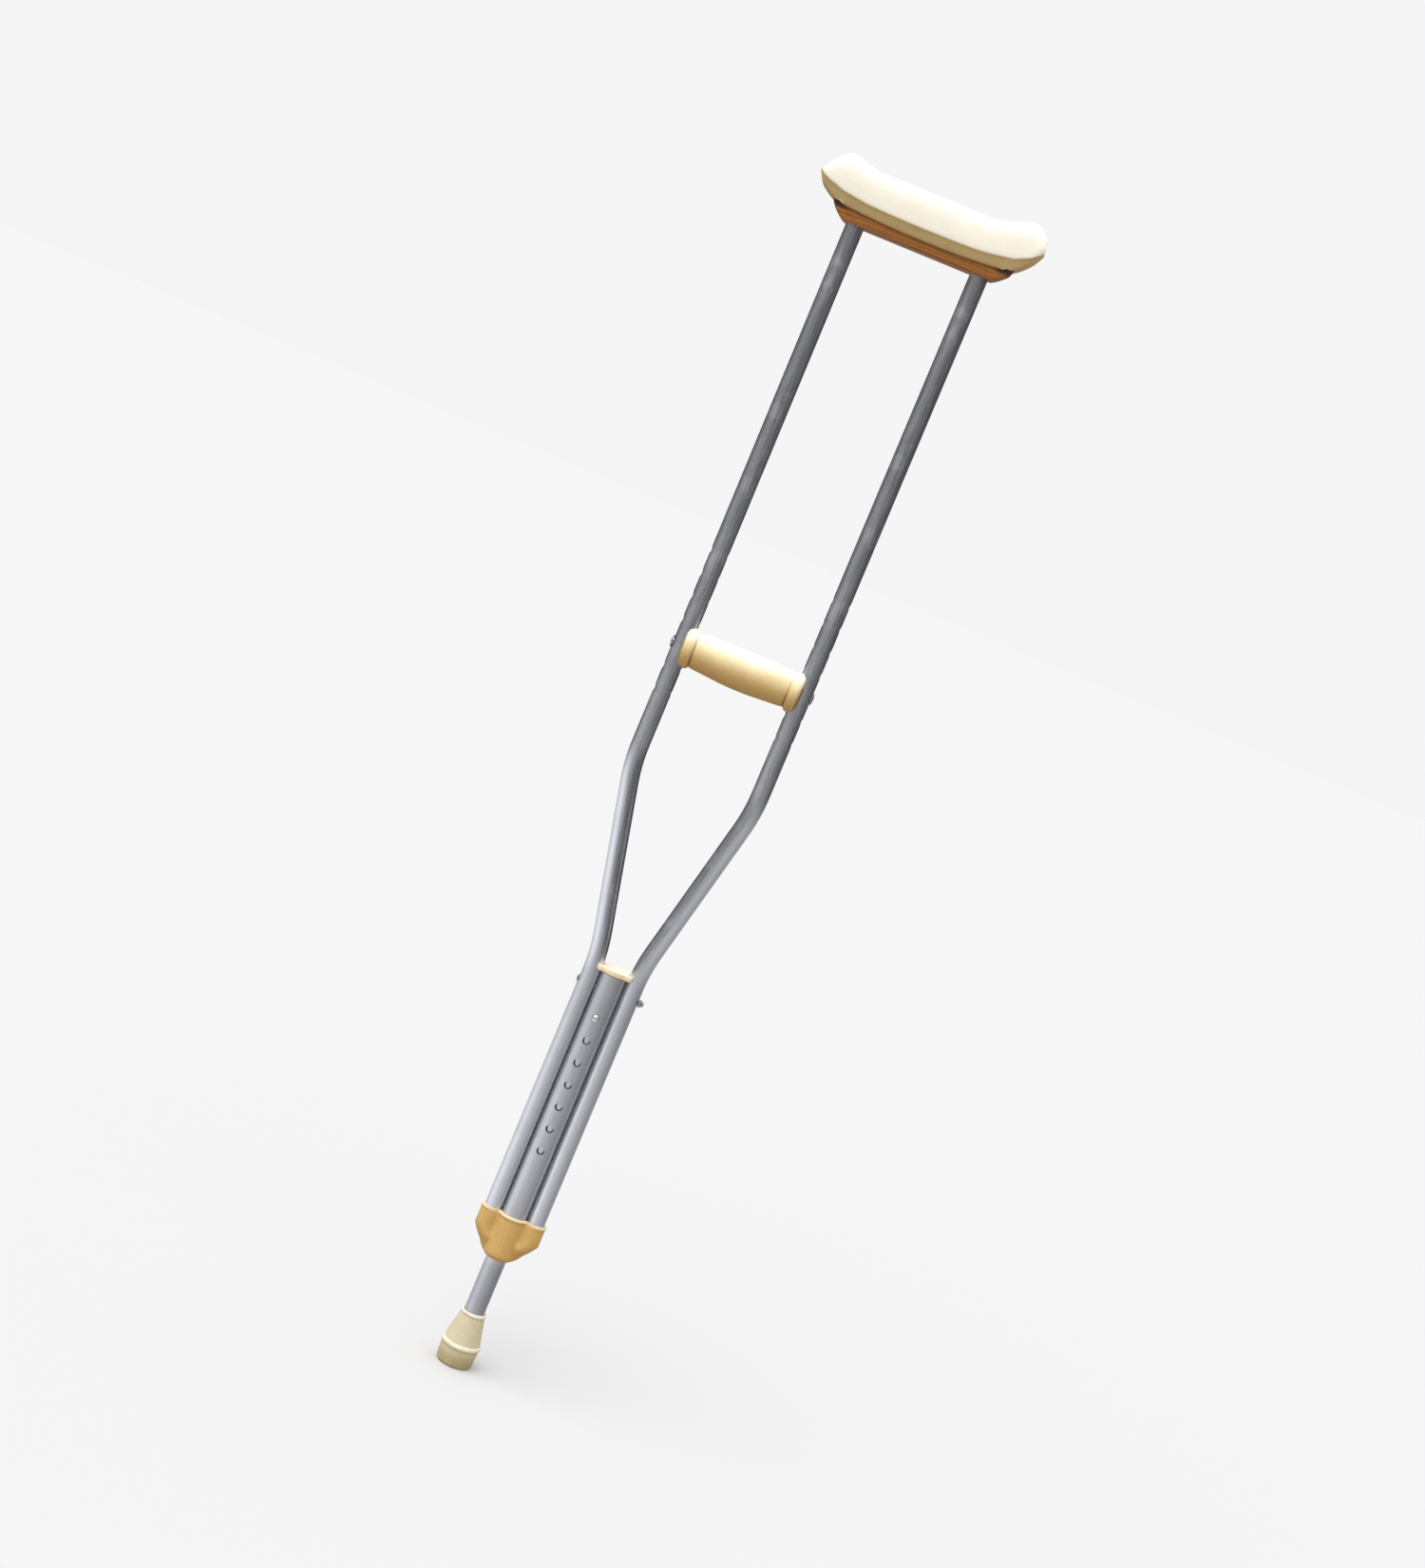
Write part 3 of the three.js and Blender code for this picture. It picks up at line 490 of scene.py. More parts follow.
ALUMINIUM = aluminium("anodised_aluminium", "d4d5db", "e3e3ea", "efeff3")
GREY_ALUMINIUM = aluminium("grey_aluminium", "bfc0c5", "cfcfd4", "e2e2e4")
PAD = pad_rubber()
GRIP = grip_rubber()
TIP = tip_rubber()
AMBER = moulded("amber_plastic", "c9a25c", "d9b673", "f2dfc4", BRACKET_HIGH.z, 3.0, 0.36, 0.46)
CREAM = moulded("cream_plastic", "efdcb4", "f6e7ca", "f8efdc", CAP_HIGH.z, 1.2, 0.4, 0.5)
SADDLE_WOOD = wood("stained_wood", "8a541a", "b87829", 0.12, shaded_ends=True)
CORE_WOOD = wood("plain_wood", "a5753f", "cfa368", 0.0)
ZINC = zinc("zinc_steel", "a2a4a7", "c4c5c6", 0.24, 0.42)
NICKEL = zinc("nickel_steel", "d9d9d8", "eeeeec", 0.38, 0.52)
NYLON = nylon()

# ---------------------------------------------------------------- side tubes

BEND_TANGENT = BEND_R * math.tan(LEAN / 2)
ARC_HEIGHT = BEND_R * math.sin(LEAN)
LOWER_ARC = (LOWER_BEND_Z - BEND_TANGENT, LOWER_BEND_Z - BEND_TANGENT + ARC_HEIGHT)
UPPER_ARC = (UPPER_BEND_Z + BEND_TANGENT - ARC_HEIGHT, UPPER_BEND_Z + BEND_TANGENT)


def axis_at(z):
    """(x, lean) of the right side tube's axis at this height."""
    if z <= LOWER_ARC[0]:
        return LOWER_SPREAD, 0.0
    if z >= UPPER_ARC[1]:
        return UPPER_SPREAD, 0.0
    if z < LOWER_ARC[1]:
        turn = math.asin((z - LOWER_ARC[0]) / BEND_R)
        return LOWER_SPREAD + BEND_R * (1 - math.cos(turn)), turn
    if z > UPPER_ARC[0]:
        turn = math.asin((UPPER_ARC[1] - z) / BEND_R)
        return UPPER_SPREAD - BEND_R * (1 - math.cos(turn)), turn
    start = LOWER_SPREAD + BEND_R * (1 - math.cos(LEAN))
    return start + (z - LOWER_ARC[1]) * math.tan(LEAN), LEAN


def heights_between(low, high, steps):
    return [low + (high - low) * i / steps for i in range(steps + 1)]


def tube_rings(side, heights, radius, count):
    rings = []
    for z in heights:
        x, lean = axis_at(z)
        across = Vector((math.cos(lean), 0, -math.sin(lean)))
        ring = []
        for i in range(count):
            angle = 2 * math.pi * i / count
            p = Vector((x, 0, z)) + radius * (math.cos(angle) * across + math.sin(angle) * Vector((0, 1, 0)))
            ring.append(Vector((side * p.x, p.y, p.z)))
        rings.append(ring)
    return rings


def round_tube_surface(mesh, centre_of):
    """Gives a drilled tube the smooth normals of its round walls, and each point's place on the straight
    tube. centre_of gives the axis point and direction nearest to a point, all in millimetres."""
    run = mesh.attributes.new("run", "FLOAT_VECTOR", "POINT")
    radials = []
    for vertex in mesh.vertices:
        centre, along = centre_of(vertex.co)
        out = vertex.co - centre
        out -= along * out.dot(along)
        across = Vector((0, 1, 0)).cross(along)
        run.data[vertex.index].vector = Vector((out.dot(across), out.y, centre.z)) * MM
        radials.append(out.normalized())
    normals = []
    for polygon in mesh.polygons:
        out = sum((radials[v] for v in polygon.vertices), Vector())
        wall = polygon.normal.dot(out.normalized()) if out.length else 0.0
        on_wall = abs(wall) > 0.985
        for v in polygon.vertices:
            normals.append(radials[v] * math.copysign(1, wall) if on_wall else polygon.normal.copy())
    return normals


def tube_piece(name, rings, cuts, centre_of, body, material=ALUMINIUM):
    obj = linked(f"{name}_looks", mesh_of([rings], closed=True))
    for group in cuts:
        cut(obj, group)
    normals = round_tube_surface(obj.data, centre_of)
    dress(obj, body, material, 30, [name])
    obj.data.normals_split_custom_set(normals)
    return obj


TUBE_COUNT = 64
EDGE = 0.35  # the broken edge at a tube's ends

for side, label in mirrored():
    heights = (
        heights_between(SIDE_LOW.z + EDGE, LOWER_ARC[0], 6)
        + heights_between(*LOWER_ARC, 14)[1:]
        + heights_between(LOWER_ARC[1], UPPER_ARC[0], 4)[1:]
        + heights_between(*UPPER_ARC, 14)[1:]
        + heights_between(UPPER_ARC[1], SIDE_HIGH.z - EDGE, 8)[1:]
    )
    ends = (SIDE_LOW.z, SIDE_HIGH.z)
    rings = (
        tube_rings(side, ends[:1], SIDE_R - EDGE, TUBE_COUNT)
        + tube_rings(side, heights, SIDE_R + SWELL, TUBE_COUNT)
        + tube_rings(side, ends[1:], SIDE_R - EDGE, TUBE_COUNT)
        + tube_rings(side, [ends[1]], SIDE_R - SIDE_WALL, TUBE_COUNT)
        + tube_rings(side, heights[::-1], SIDE_R - SIDE_WALL, TUBE_COUNT)
        + tube_rings(side, [ends[0]], SIDE_R - SIDE_WALL, TUBE_COUNT)
    )
    axis_x = side * UPPER_SPREAD
    through = []
    wide = []
    for step in GRIP_STEPS:
        z = GRIP_Z + step * HOLE_PITCH
        through.append(rod(GRIP_HOLE_R, axis_x - DRILL, axis_x + DRILL, "X", (0, 0, z)))
        if side < 0:
            wide.append(rod(NUT_HOLE_R, axis_x - DRILL, axis_x, "X", (0, 0, z)))
    low_x = side * LOWER_SPREAD
    through.append(rod(CAP_HOLE_R, low_x - DRILL, low_x + DRILL, "X", (0, 0, CAP_BOLT_Z)))
    through.append(rod(RIVET_HOLE_R, 0.5, DRILL, "Y", (low_x, 0, RIVET_Z)))

    def centre_of(p, side=side):
        z = p.z
        for _ in range(3):
            x, lean = axis_at(z)
            along = Vector((side * math.sin(lean), 0, math.cos(lean)))
            centre = Vector((side * x, 0, z))
            z += (p - centre).dot(along) * along.z
        return centre, along

    tube_piece(f"side_tube_{label}", rings, [through] + ([wide] if wide else []), centre_of, "frame")

# ---------------------------------------------------------------- centre tube and leg


def straight_tube(name, radius, wall, ends, cuts, body, material):
    inner = radius - wall
    low, high = ends
    heights = heights_between(low + EDGE, high - EDGE, 14)
    profile = [(radius - EDGE, low)] + [(radius, z) for z in heights] + [(radius - EDGE, high)]
    profile += [(inner, high)] + [(inner, z) for z in heights[::-1]] + [(inner, low)]
    up = Vector((0, 0, 1))
    rings = turned(profile, count=TUBE_COUNT)
    tube_piece(name, rings, cuts, lambda p: (Vector((0, 0, p.z)), up), body, material)


holes = [
    rod(BUTTON_HOLE_R, -LONG_DRILL, LONG_DRILL, "Y", (0, 0, BUTTON_Z - hole * HOLE_PITCH))
    for hole in range(HEIGHT_HOLES)
]
holes.append(rod(CAP_HOLE_R, -LONG_DRILL, LONG_DRILL, "X", (0, 0, CAP_BOLT_Z)))
centre_ends = (CENTRE_LOW.z, CENTRE_HIGH.z)
straight_tube(
    "centre_tube", CENTRE_R + SWELL, CENTRE_WALL + SWELL, centre_ends, [holes], "frame", GREY_ALUMINIUM
)
pin_hole = rod(PIN_HOLE_R, -LONG_DRILL, LONG_DRILL, "Y", (0, 0, BUTTON_Z))
straight_tube("leg_tube", LEG_R, LEG_WALL, (LEG_LOW.z, LEG_HIGH.z), [[pin_hole]], "leg", ALUMINIUM)

# ---------------------------------------------------------------- bottom bracket

COLLAR_R = 13.2
LOBE_R = CENTRE_R + 2.7
SIDE_LOBE_R = SIDE_R + 2.575
RIM_BULGE = 0.55  # how far the rolled top rim stands out
WAIST = (25, 12.5)  # (half width, height above the bottom) where the belly turns out to the shoulder
RIM_PROFILE = ((14, 0), (6, 0), (4.4, 0), (3.8, 0.3), (3.2, 1), (1.2, 1), (0.6, 0.85), (0.15, 0.4), (0, 0))


def bracket_levels():
    """(height above the bottom, half width, centre lobe radius) from the bottom up."""
    levels = [(0.0, COLLAR_R - 0.6, COLLAR_R - 0.6), (0.25, COLLAR_R + 0.5, COLLAR_R + 0.2)]
    shoulder = LOWER_SPREAD + SIDE_LOBE_R
    for i in range(1, 11):
        width, rise = bezier((COLLAR_R + 1, 0.3), (20.5, 4.5), WAIST, i / 10)
        lobe = min(LOBE_R, COLLAR_R + 0.4 + (LOBE_R - COLLAR_R) * math.sqrt(min(1, rise / 7)))
        levels.append((rise, max(width, lobe + 0.02), lobe))
    for i in range(1, 11):
        width, rise = bezier(WAIST, (shoulder - 3.5, 21), (shoulder, 27.5), i / 10)
        levels.append((rise, width, LOBE_R))
    top = BRACKET_HIGH.z - BRACKET_LOW.z
    for drop, out in RIM_PROFILE:
        bulge = out * RIM_BULGE
        levels.append((top - drop, shoulder + bulge, LOBE_R + bulge))
    return levels


def lobed_ring(z, width, lobe, side_lobe):
    """One section: a centre lobe with a smaller lobe on each side, the valleys between them softened."""
    offset = width - side_lobe
    meet_x = min(lobe, (lobe**2 - side_lobe**2 + offset**2) / (2 * offset)) if offset > 0.01 else lobe
    meet_y = math.sqrt(max(0, lobe**2 - meet_x**2))
    lobe_turn = math.atan2(meet_y, meet_x - offset)
    centre_turn = math.atan2(meet_y, meet_x)
    quarter = []
    for i in range(16):
        angle = lobe_turn * i / 16
        quarter.append((offset + side_lobe * math.cos(angle), side_lobe * math.sin(angle)))
    for i in range(13):
        angle = centre_turn + (math.pi / 2 - centre_turn) * i / 12
        quarter.append((lobe * math.cos(angle), lobe * math.sin(angle)))
    for _ in range(3):
        for i in range(14, 19):
            quarter[i] = tuple(
                (quarter[i - 1][k] + 2 * quarter[i][k] + quarter[i + 1][k]) / 4 for k in (0, 1)
            )
    left = [(-x, y) for x, y in quarter[-2::-1]]
    upper = quarter + left
    lower = [(x, -y) for x, y in upper[-2:0:-1]]
    return [Vector((x, y, z)) for x, y in upper + lower]


def bracket():
    rings = []
    for rise, width, lobe in bracket_levels():
        t = min(1.0, max(0.0, (rise - 6) / 16))
        side_lobe = 7 + (SIDE_LOBE_R - 7) * t * t * (3 - 2 * t)
        rings.append(lobed_ring(BRACKET_LOW.z + rise, width, lobe, side_lobe))
    rings = [[Vector((0, 0, rings[0][0].z))]] + rings + [[Vector((0, 0, rings[-1][0].z))]]
    pockets = [
        rod(SIDE_R + CLEARANCE, SIDE_LOW.z - 0.5, BRACKET_HIGH.z + 2, "Z", (side * LOWER_SPREAD, 0, 0), 56)
        for side, _ in mirrored()
    ]
    rivets = [
        rod(RIVET_HOLE_R, 2, LONG_DRILL, "Y", (side * LOWER_SPREAD, 0, RIVET_Z)) for side, _ in mirrored()
    ]
    main = rod(CENTRE_R + CLEARANCE, CENTRE_LOW.z - 0.5, BRACKET_HIGH.z + 2, count=64)
    bore = rod(LEG_R + CLEARANCE, BRACKET_LOW.z - 2, BRACKET_HIGH.z, count=64)
    cuts = [[*pockets, main, bore], rivets]
    built("bottom_bracket", [rings], "frame", AMBER, "bottom_bracket", cuts, crease=40)


bracket()

# ---------------------------------------------------------------- top cap

PLATE_X, PLATE_Y = CAP_HIGH.x, 12.0
CROWN_R = CAP_HIGH.y
PLATE_BOTTOM = CENTRE_HIGH.z + CLEARANCE


def cap_reach(inset, angle):
    """How far the cap's plate reaches in a direction: a disc and a square-ended bar, notched by the tubes."""
    c, s = abs(math.cos(angle)), abs(math.sin(angle))
    bar_x, bar_y = PLATE_X - inset, PLATE_Y - inset
    bar = 1 / ((c / bar_x) ** 9 + (s / bar_y) ** 9) ** (1 / 9)
    reach = max(CROWN_R - inset, bar)
    notch_x, notch_r = LOWER_SPREAD + CLEARANCE / 2, SIDE_R + 2 * CLEARANCE + inset
    inside = notch_r**2 - (notch_x * s) ** 2
    if inside > 0:
        reach = min(reach, notch_x * c - math.sqrt(inside))
    return reach


def top_cap():
    plug_r = CENTRE_R - CENTRE_WALL - CLEARANCE
    top = CAP_HIGH.z

    def plate(inset):
        return lambda radius, angle: cap_reach(inset, angle)

    profile = [(0, CAP_LOW.z), (plug_r - 0.6, CAP_LOW.z), (plug_r, CAP_LOW.z + 0.8), (plug_r, PLATE_BOTTOM)]
    profile += [(1, PLATE_BOTTOM, plate(0.5)), (1, PLATE_BOTTOM + 0.15, plate(0.15))]
    profile += [(1, PLATE_BOTTOM + 0.5, plate(0)), (1, top - 0.9, plate(0)), (1, top - 0.45, plate(0.12))]
    profile += [(1, top - 0.12, plate(0.45)), (1, top, plate(0.9))]
    profile += [(9.6, top), (9.2, top - 0.15), (8.9, top - 0.8)]
    profile += [(3.2, top - 0.8), (2.9, top - 0.3), (0, top - 0.3)]
    bolt = [rod(CAP_HOLE_R, -LONG_DRILL, LONG_DRILL, "X", (0, 0, CAP_BOLT_Z))]
    rings = turned(profile, count=144)
    built("top_cap", [rings], "frame", CREAM, "top_cap", [bolt], crease=38)


top_cap()

# ---------------------------------------------------------------- bolts, nuts, rivets and buttons


def thread(radius, low, high, pitch=0.8, depth=0.28):
    """The crests and roots of a screw thread from low to high."""
    points = []
    turns = int((high - low) / pitch)
    for i in range(turns):
        start = low + i * pitch
        points += [(radius, start + pitch * 0.15), (radius - depth, start + pitch * 0.6)]
    return points + [(radius, high)]


def fasteners():
    face = CAP_FACE
    head = soften([(0, 1.5, 0), (2.0, 1.4, 0.6), (3.6, 0.7, 0.6), (4.0, 0, 0.15), (2.5, 0, 0)])
    cap_bolt = [(r, -face - h) for r, h in head]
    cap_bolt += thread(2.5, face - 1, face + 5.2) + [(1.9, face + 5.8), (0, face + 5.8)]
    slot = [rod(0.45, -face - 2, -face - 0.8, "X", (0, 0, CAP_BOLT_Z + 0.7 * k), 12) for k in range(-3, 4)]
    rings = [turned(cap_bolt, "X", (0, 0, CAP_BOLT_Z), 40)]
    built("cap_bolt", rings, "frame", ZINC, "cap_bolt", [slot])

    flat = CAP_NUT_HIGH.y
    top = CAP_NUT_HIGH.x
    nut = [(2.85, face), (3.3, face), (flat * 0.98, face + 0.05), (flat, face + 0.4, hexagon)]
    nut += [(flat, top - 0.5, hexagon), (flat * 0.97, top), (2.85, top)]
    rings = turned(nut, "X", (0, 0, CAP_BOLT_Z), 72)
    built("cap_nut", [rings], "frame", ZINC, "cap_nut", closed=True, crease=24)

    bolt = soften([(0, 5 - GRIP_FACE, 0), (2.5, 5 - GRIP_FACE, 0), (3, 5.6 - GRIP_FACE, 0)])
    bolt += thread(3, 5.8 - GRIP_FACE, 22 - GRIP_FACE, 1.0, 0.35)
    bolt += soften([(3, GRIP_FACE, 0), (6.4, GRIP_FACE, 0.3), (5.7, GRIP_FACE + 1.1, 0.6)])
    bolt += [(3.1, GRIP_FACE + 1.75), (1.9, GRIP_FACE + 1.8)]
    bolt += [(1.85, GRIP_FACE + 1.7, hexagon), (1.85, GRIP_FACE + 0.3, hexagon), (0, GRIP_FACE + 0.2)]
    built("grip_bolt", [turned(bolt, "X", (0, 0, GRIP_Z), 48)], "handgrip", ZINC, "grip_bolt")

    nut = [(0, -2), (3.35, -2), (3.35, -14), (4.2, -14), (4.2, 0), (6.4, 0), (6.3, 0.4)]
    nut += [(5.7, 1.1), (4.9, 1.5), (3.1, 1.75), (1.9, 1.8)]
    nut += [(1.85, 1.7, hexagon), (1.85, 0.3, hexagon), (0, 0.2)]
    nut = [(r, -GRIP_FACE - h, *outline) for r, h, *outline in nut]
    built("grip_nut", [turned(nut, "X", (0, 0, GRIP_Z), 48)], "handgrip", ZINC, "grip_nut")

    for side, label in mirrored():
        base = SIDE_R + 2.8
        rivet = [(0, base - 7), (2, base - 7), (2, base), (4, base), (4, base + 0.2), (3.7, base + 0.7)]
        rivet += [(3.1, base + 1.05), (2.2, base + 1.3), (1.3, base + 1.4)]
        rivet += [(1.15, base + 1.2), (1.1, base + 0.3), (0, base + 0.1)]
        rings = turned(rivet, "Y", (side * LOWER_SPREAD, 0, RIVET_Z), 40)
        name = f"bracket_rivet_{label}"
        built(name, [rings], "frame", ZINC, name)

    reach = -BUTTON_LOW.y
    back = -BUTTON_HIGH.y
    pin = [(0, back, 0), (5, back, 0.2), (5, back + 0.85, 0.2), (BUTTON_R, back + 0.85, 0)]
    pin += [(BUTTON_R, reach - 1.9, 0.9), (BUTTON_R * 0.8, reach - 0.5, 0.8), (BUTTON_R * 0.35, reach, 0.6)]
    pin = soften(pin + [(0, reach, 0)], 5)
    for name, way in (("front_button", -1), ("rear_button", 1)):
        rings = turned([(r, way * y) for r, y in pin], "Y", (0, 0, BUTTON_Z), 48)
        built(name, [rings], name, NICKEL, name)


fasteners()

# ---------------------------------------------------------------- saddle


SADDLE_FLAT = 79.0  # half length of its flat underside


def saddle_top(x):
    return SADDLE_HIGH.z - 7 + 7 * (x / SADDLE_HIGH.x) ** 2


def saddle_bottom(x):
    past = max(0.0, abs(x) - SADDLE_FLAT) / (SADDLE_HIGH.x - SADDLE_FLAT)
    return SADDLE_LOW.z + 14 * past**1.35


def rounded_section(x, half_depth, bottom, top, corner, steps=5):
    """A rounded rectangle in Y and Z at this x."""
    corner = min(corner, 0.45 * (top - bottom))
    ring = []
    for sy, sz, start in ((1, 1, 0), (-1, 1, 90), (-1, -1, 180), (1, -1, 270)):
        centre = Vector((x, sy * (half_depth - corner), top - corner if sz > 0 else bottom + corner))
        for i in range(steps + 1):
            angle = math.radians(start + 90 * i / steps)
            ring.append(centre + corner * Vector((0, math.cos(angle), math.sin(angle))))
    return ring


def capped(rings):
    """The rings with a pole in the middle of each end."""
    first, last = ([sum(ring, Vector()) / len(ring)] for ring in (rings[0], rings[-1]))
    return [first, *rings, last]


def saddle():
    half = SADDLE_HIGH.x
    depth = SADDLE_HIGH.y
    rings = []
    ends = [(half, 2.6), (half - 0.5, 1.3), (half - 1.4, 0.4), (half - 2.8, 0)]
    stations = [(-x, inset) for x, inset in ends]
    stations += [(x, 0) for x in range(-92, 93, 4)]
    stations += ends[::-1]
    for x, inset in stations:
        rings.append(rounded_section(x, depth - inset, saddle_bottom(x) + inset, saddle_top(x) - inset, 2.6))
    tools = []
    for side, _ in mirrored():
        origin = (side * UPPER_SPREAD, 0, 0)
        tools.append(rod(SIDE_R + CLEARANCE, SADDLE_LOW.z - 5, SIDE_HIGH.z + 0.5, "Z", origin, 56))
        tools.append(rod(SCREW_HOLE_R, SIDE_HIGH.z - 2, SCREW_TOP + 8, "Z", origin))
        tools.append(rod(SCREW_HEAD_HOLE_R, SCREW_TOP - 3.35, SCREW_TOP + 20, "Z", origin))
    built("saddle", [capped(rings)], "frame", SADDLE_WOOD, "saddle", [tools], crease=35)


saddle()

# ---------------------------------------------------------------- underarm pad

PAD_LIP = PAD_LOW.z - 1.0
PAD_FLAT = 1310.7  # its top along the middle
PARTING = 0.232  # the mould line's height, as a part of the section's
PAD_SECTION = (  # (half depth, height), each as a part of the whole, from the top middle down one side
    (0.0, 1.0),
    (0.22, 0.998),
    (0.42, 0.988),
    (0.60, 0.966),
    (0.74, 0.93),
    (0.85, 0.872),
    (0.925, 0.79),
    (0.97, 0.69),
    (0.993, 0.58),
    (1.0, 0.46),
    (1.0, 0.34),
    (0.997, 0.27),
    (0.985, PARTING + 0.004),
    (0.965, PARTING - 0.012),
    (0.93, 0.19),
    (0.885, 0.13),
    (0.845, 0.07),
    (0.815, 0.03),
    (0.77, 0.005),
    (0.70, 0.0),
    (0.35, 0.0),
    (0.0, 0.0),
)
PAD_ENDS = {  # side: where the upturn starts, the top corner, two points down the end, the end itself
    -1: (62, (99.5, 1318.4), (109.5, 1306.5), (117.5, 1296.5), 1291.0),
    1: (58, (105.5, 1323.0), (115.5, 1312.5), (119.6, 1303.0), 1297.0),
}


def pad_stations(side):
    """(top point, bottom point, depth, height of the mould line) from the middle to one end."""
    upturn, corner, slope, toe, end_z = PAD_ENDS[side]
    stations = []
    shoulder = (corner[0] - 7, corner[1] - 0.9)
    steps = 18
    for i in range(steps + 1):
        x = shoulder[0] * i / steps
        t = max(0.0, (x - upturn) / (shoulder[0] - upturn))
        rise = t * t * (2.3 - 1.3 * t)
        low_x = 90 * i / steps
        low_z = PAD_LIP + 4.5 * (low_x / 90) ** 2.4
        top = (x, PAD_FLAT + (shoulder[1] - PAD_FLAT) * rise)
        stations.append((top, (low_x, low_z), 1.0, PARTING))
    end = (PAD_HIGH.x, end_z)
    heel = (90, PAD_LIP + 4.5)
    belly = (PAD_HIGH.x - 5.5, end_z - 11)
    for i in range(1, 17):
        t = i / 16
        if t < 0.4:
            top = bezier(shoulder, (corner[0] + 1, corner[1] + 0.4), slope, t / 0.4)
        else:
            top = bezier(slope, toe, end, (t - 0.4) / 0.6)
        if t < 0.7:
            low = bezier(heel, (101, PAD_LIP + 7), belly, t / 0.7)
        else:
            low = bezier(belly, (PAD_HIGH.x - 1.5, end_z - 4), (end[0] - 0.1, end[1] - 1.5), (t - 0.7) / 0.3)
        depth = 1 - max(0.0, (t - 0.35) / 0.65) ** 2.6 * 0.52
        stations.append((top, low, depth, PARTING + 0.3 * t**1.5))
    return stations


def pad_ring(top, low, depth, parting, mirror):
    half = PAD_HIGH.y
    right = []
    for out, up in PAD_SECTION:
        if up < PARTING:
            up *= parting / PARTING
        else:
            up = parting + (up - PARTING) * (1 - parting) / (1 - PARTING)
        x = low[0] + (top[0] - low[0]) * up
        z = low[1] + (top[1] - low[1]) * up
        right.append(Vector((mirror * x, half * depth * out, z)))
    left = [Vector((p.x, -p.y, p.z)) for p in right[-2:0:-1]]
    return right + left


def pad_channel():
    """The hollow for the saddle, open below, and the notches at its ends."""
    grow = CLEARANCE + 0.2
    half = SADDLE_HIGH.x + grow
    channel = []
    for x in heights_between(-half, half, 40):
        z = saddle_top(x * SADDLE_HIGH.x / half) + grow
        channel.append(rounded_section(x, SADDLE_HIGH.y + grow, 1240, z, 1.2, 2))
    notches = []
    for side, _ in mirrored():
        sections = []
        for x, top in ((86, 1266.5), (90, 1268.6), (95, 1269.0), (98.5, 1267.5)):
            sections.append(rounded_section(side * x, PAD_HIGH.y + 6, 1250, top, 1.0, 2))
        notches.append(capped(sections))
    return [capped(channel), *notches]


def pad():
    rings = [pad_ring(*station, -1) for station in pad_stations(-1)[:0:-1]]
    rings += [pad_ring(*station, 1) for station in pad_stations(1)]
    under = [1.0 if up < PARTING else 0.0 for _, up in PAD_SECTION]
    under += under[-2:0:-1]
    bm = bmesh.new()
    tan = bm.verts.layers.float.new("under")
    rows = loft(bm, rings)
    for row in rows:
        for vertex, value in zip(row, under):
            vertex[tan] = value
    for row in (rows[0], rows[-1]):
        centre = bm.verts.new(sum((v.co for v in row), Vector()) / len(row))
        centre[tan] = 0.3
        for a, b in zip(row, row[1:] + row[:1]):
            bm.faces.new((a, b, centre))
    for vertex in bm.verts:
        p = vertex.co
        soft = noise.noise(p * 0.028) * 0.7 + noise.noise(p * 0.09) * 0.25
        if p.z > PAD_LIP + 24:
            p += Vector((0, math.copysign(0.4, p.y) * soft, soft))
    bmesh.ops.recalc_face_normals(bm, faces=bm.faces)
    mesh = bpy.data.meshes.new("underarm_pad")
    bm.to_mesh(mesh)
    bm.free()
    obj = linked("underarm_pad_looks", mesh)
    cut(obj, pad_channel())
    shade = obj.data.attributes["under"]
    # Faces inside the hollow for the saddle get more than the full tan: painted shade inside the hollow.
    inside = SADDLE_HIGH.y + CLEARANCE + 0.3
    for vertex in obj.data.vertices:
        if abs(vertex.co.y) < inside and vertex.co.z < saddle_top(vertex.co.x) + 2:
            shade.data[vertex.index].value = 1.4
    dress(obj, "frame", PAD, 38, ["underarm_pad"])


pad()

# ---------------------------------------------------------------- rubber tip


def tip():
    corners = [
        (0, 1.2, 0),
        (5.5, 1.2, 0.3),
        (6.2, 0, 0.3),
        (9.6, 0, 0.3),
        (10.3, 1.2, 0.3),
        (12.6, 1.2, 0.3),
        (13.3, 0, 0.3),
        (17.7, 0, 1.0),
        (19.3, 1.6, 1.0),
        (20.3, 14, 2),
        (20.5, 20, 0.5),
        (21.5, 21.4, 0.7),
        (21.5, 24.6, 0.8),
        (19.7, 26.2, 0.9),
        (17.1, TIP_HIGH.z - 22, 3),
        (14.2, TIP_HIGH.z - 8, 2),
        (13.3, TIP_HIGH.z - 4.2, 0.6),
        (14.1, TIP_HIGH.z - 3.2, 0.5),
        (14.0, TIP_HIGH.z - 0.7, 0.6),
        (12.9, TIP_HIGH.z, 0.3),
        (LEG_R + 0.7, TIP_HIGH.z, 0.3),
        (LEG_R + CLEARANCE, TIP_HIGH.z - 0.6, 0),
        (LEG_R + CLEARANCE, 12, 0),
        (0, 12, 0),
    ]
    count = 112
    rings = turned(soften(corners), count=count)
    for ring in rings:
        if len(ring) == 1:
            continue
        for i, p in enumerate(ring):
            along = math.cos(4 * math.pi * i / count)
            outside = math.hypot(p.x, p.y) > LEG_R + 2 and p.z > 0.5
            if along > 0.97 and outside:
                p.x += math.copysign(0.22 * (along - 0.97) / 0.03, p.x)
            wobble = 0.12 * noise.noise(p * 0.11)
            if outside:
                p.x += wobble
                p.y += wobble
    built("rubber_tip", [rings], "leg", TIP, "rubber_tip", crease=42)


tip()

# ---------------------------------------------------------------- grip cover

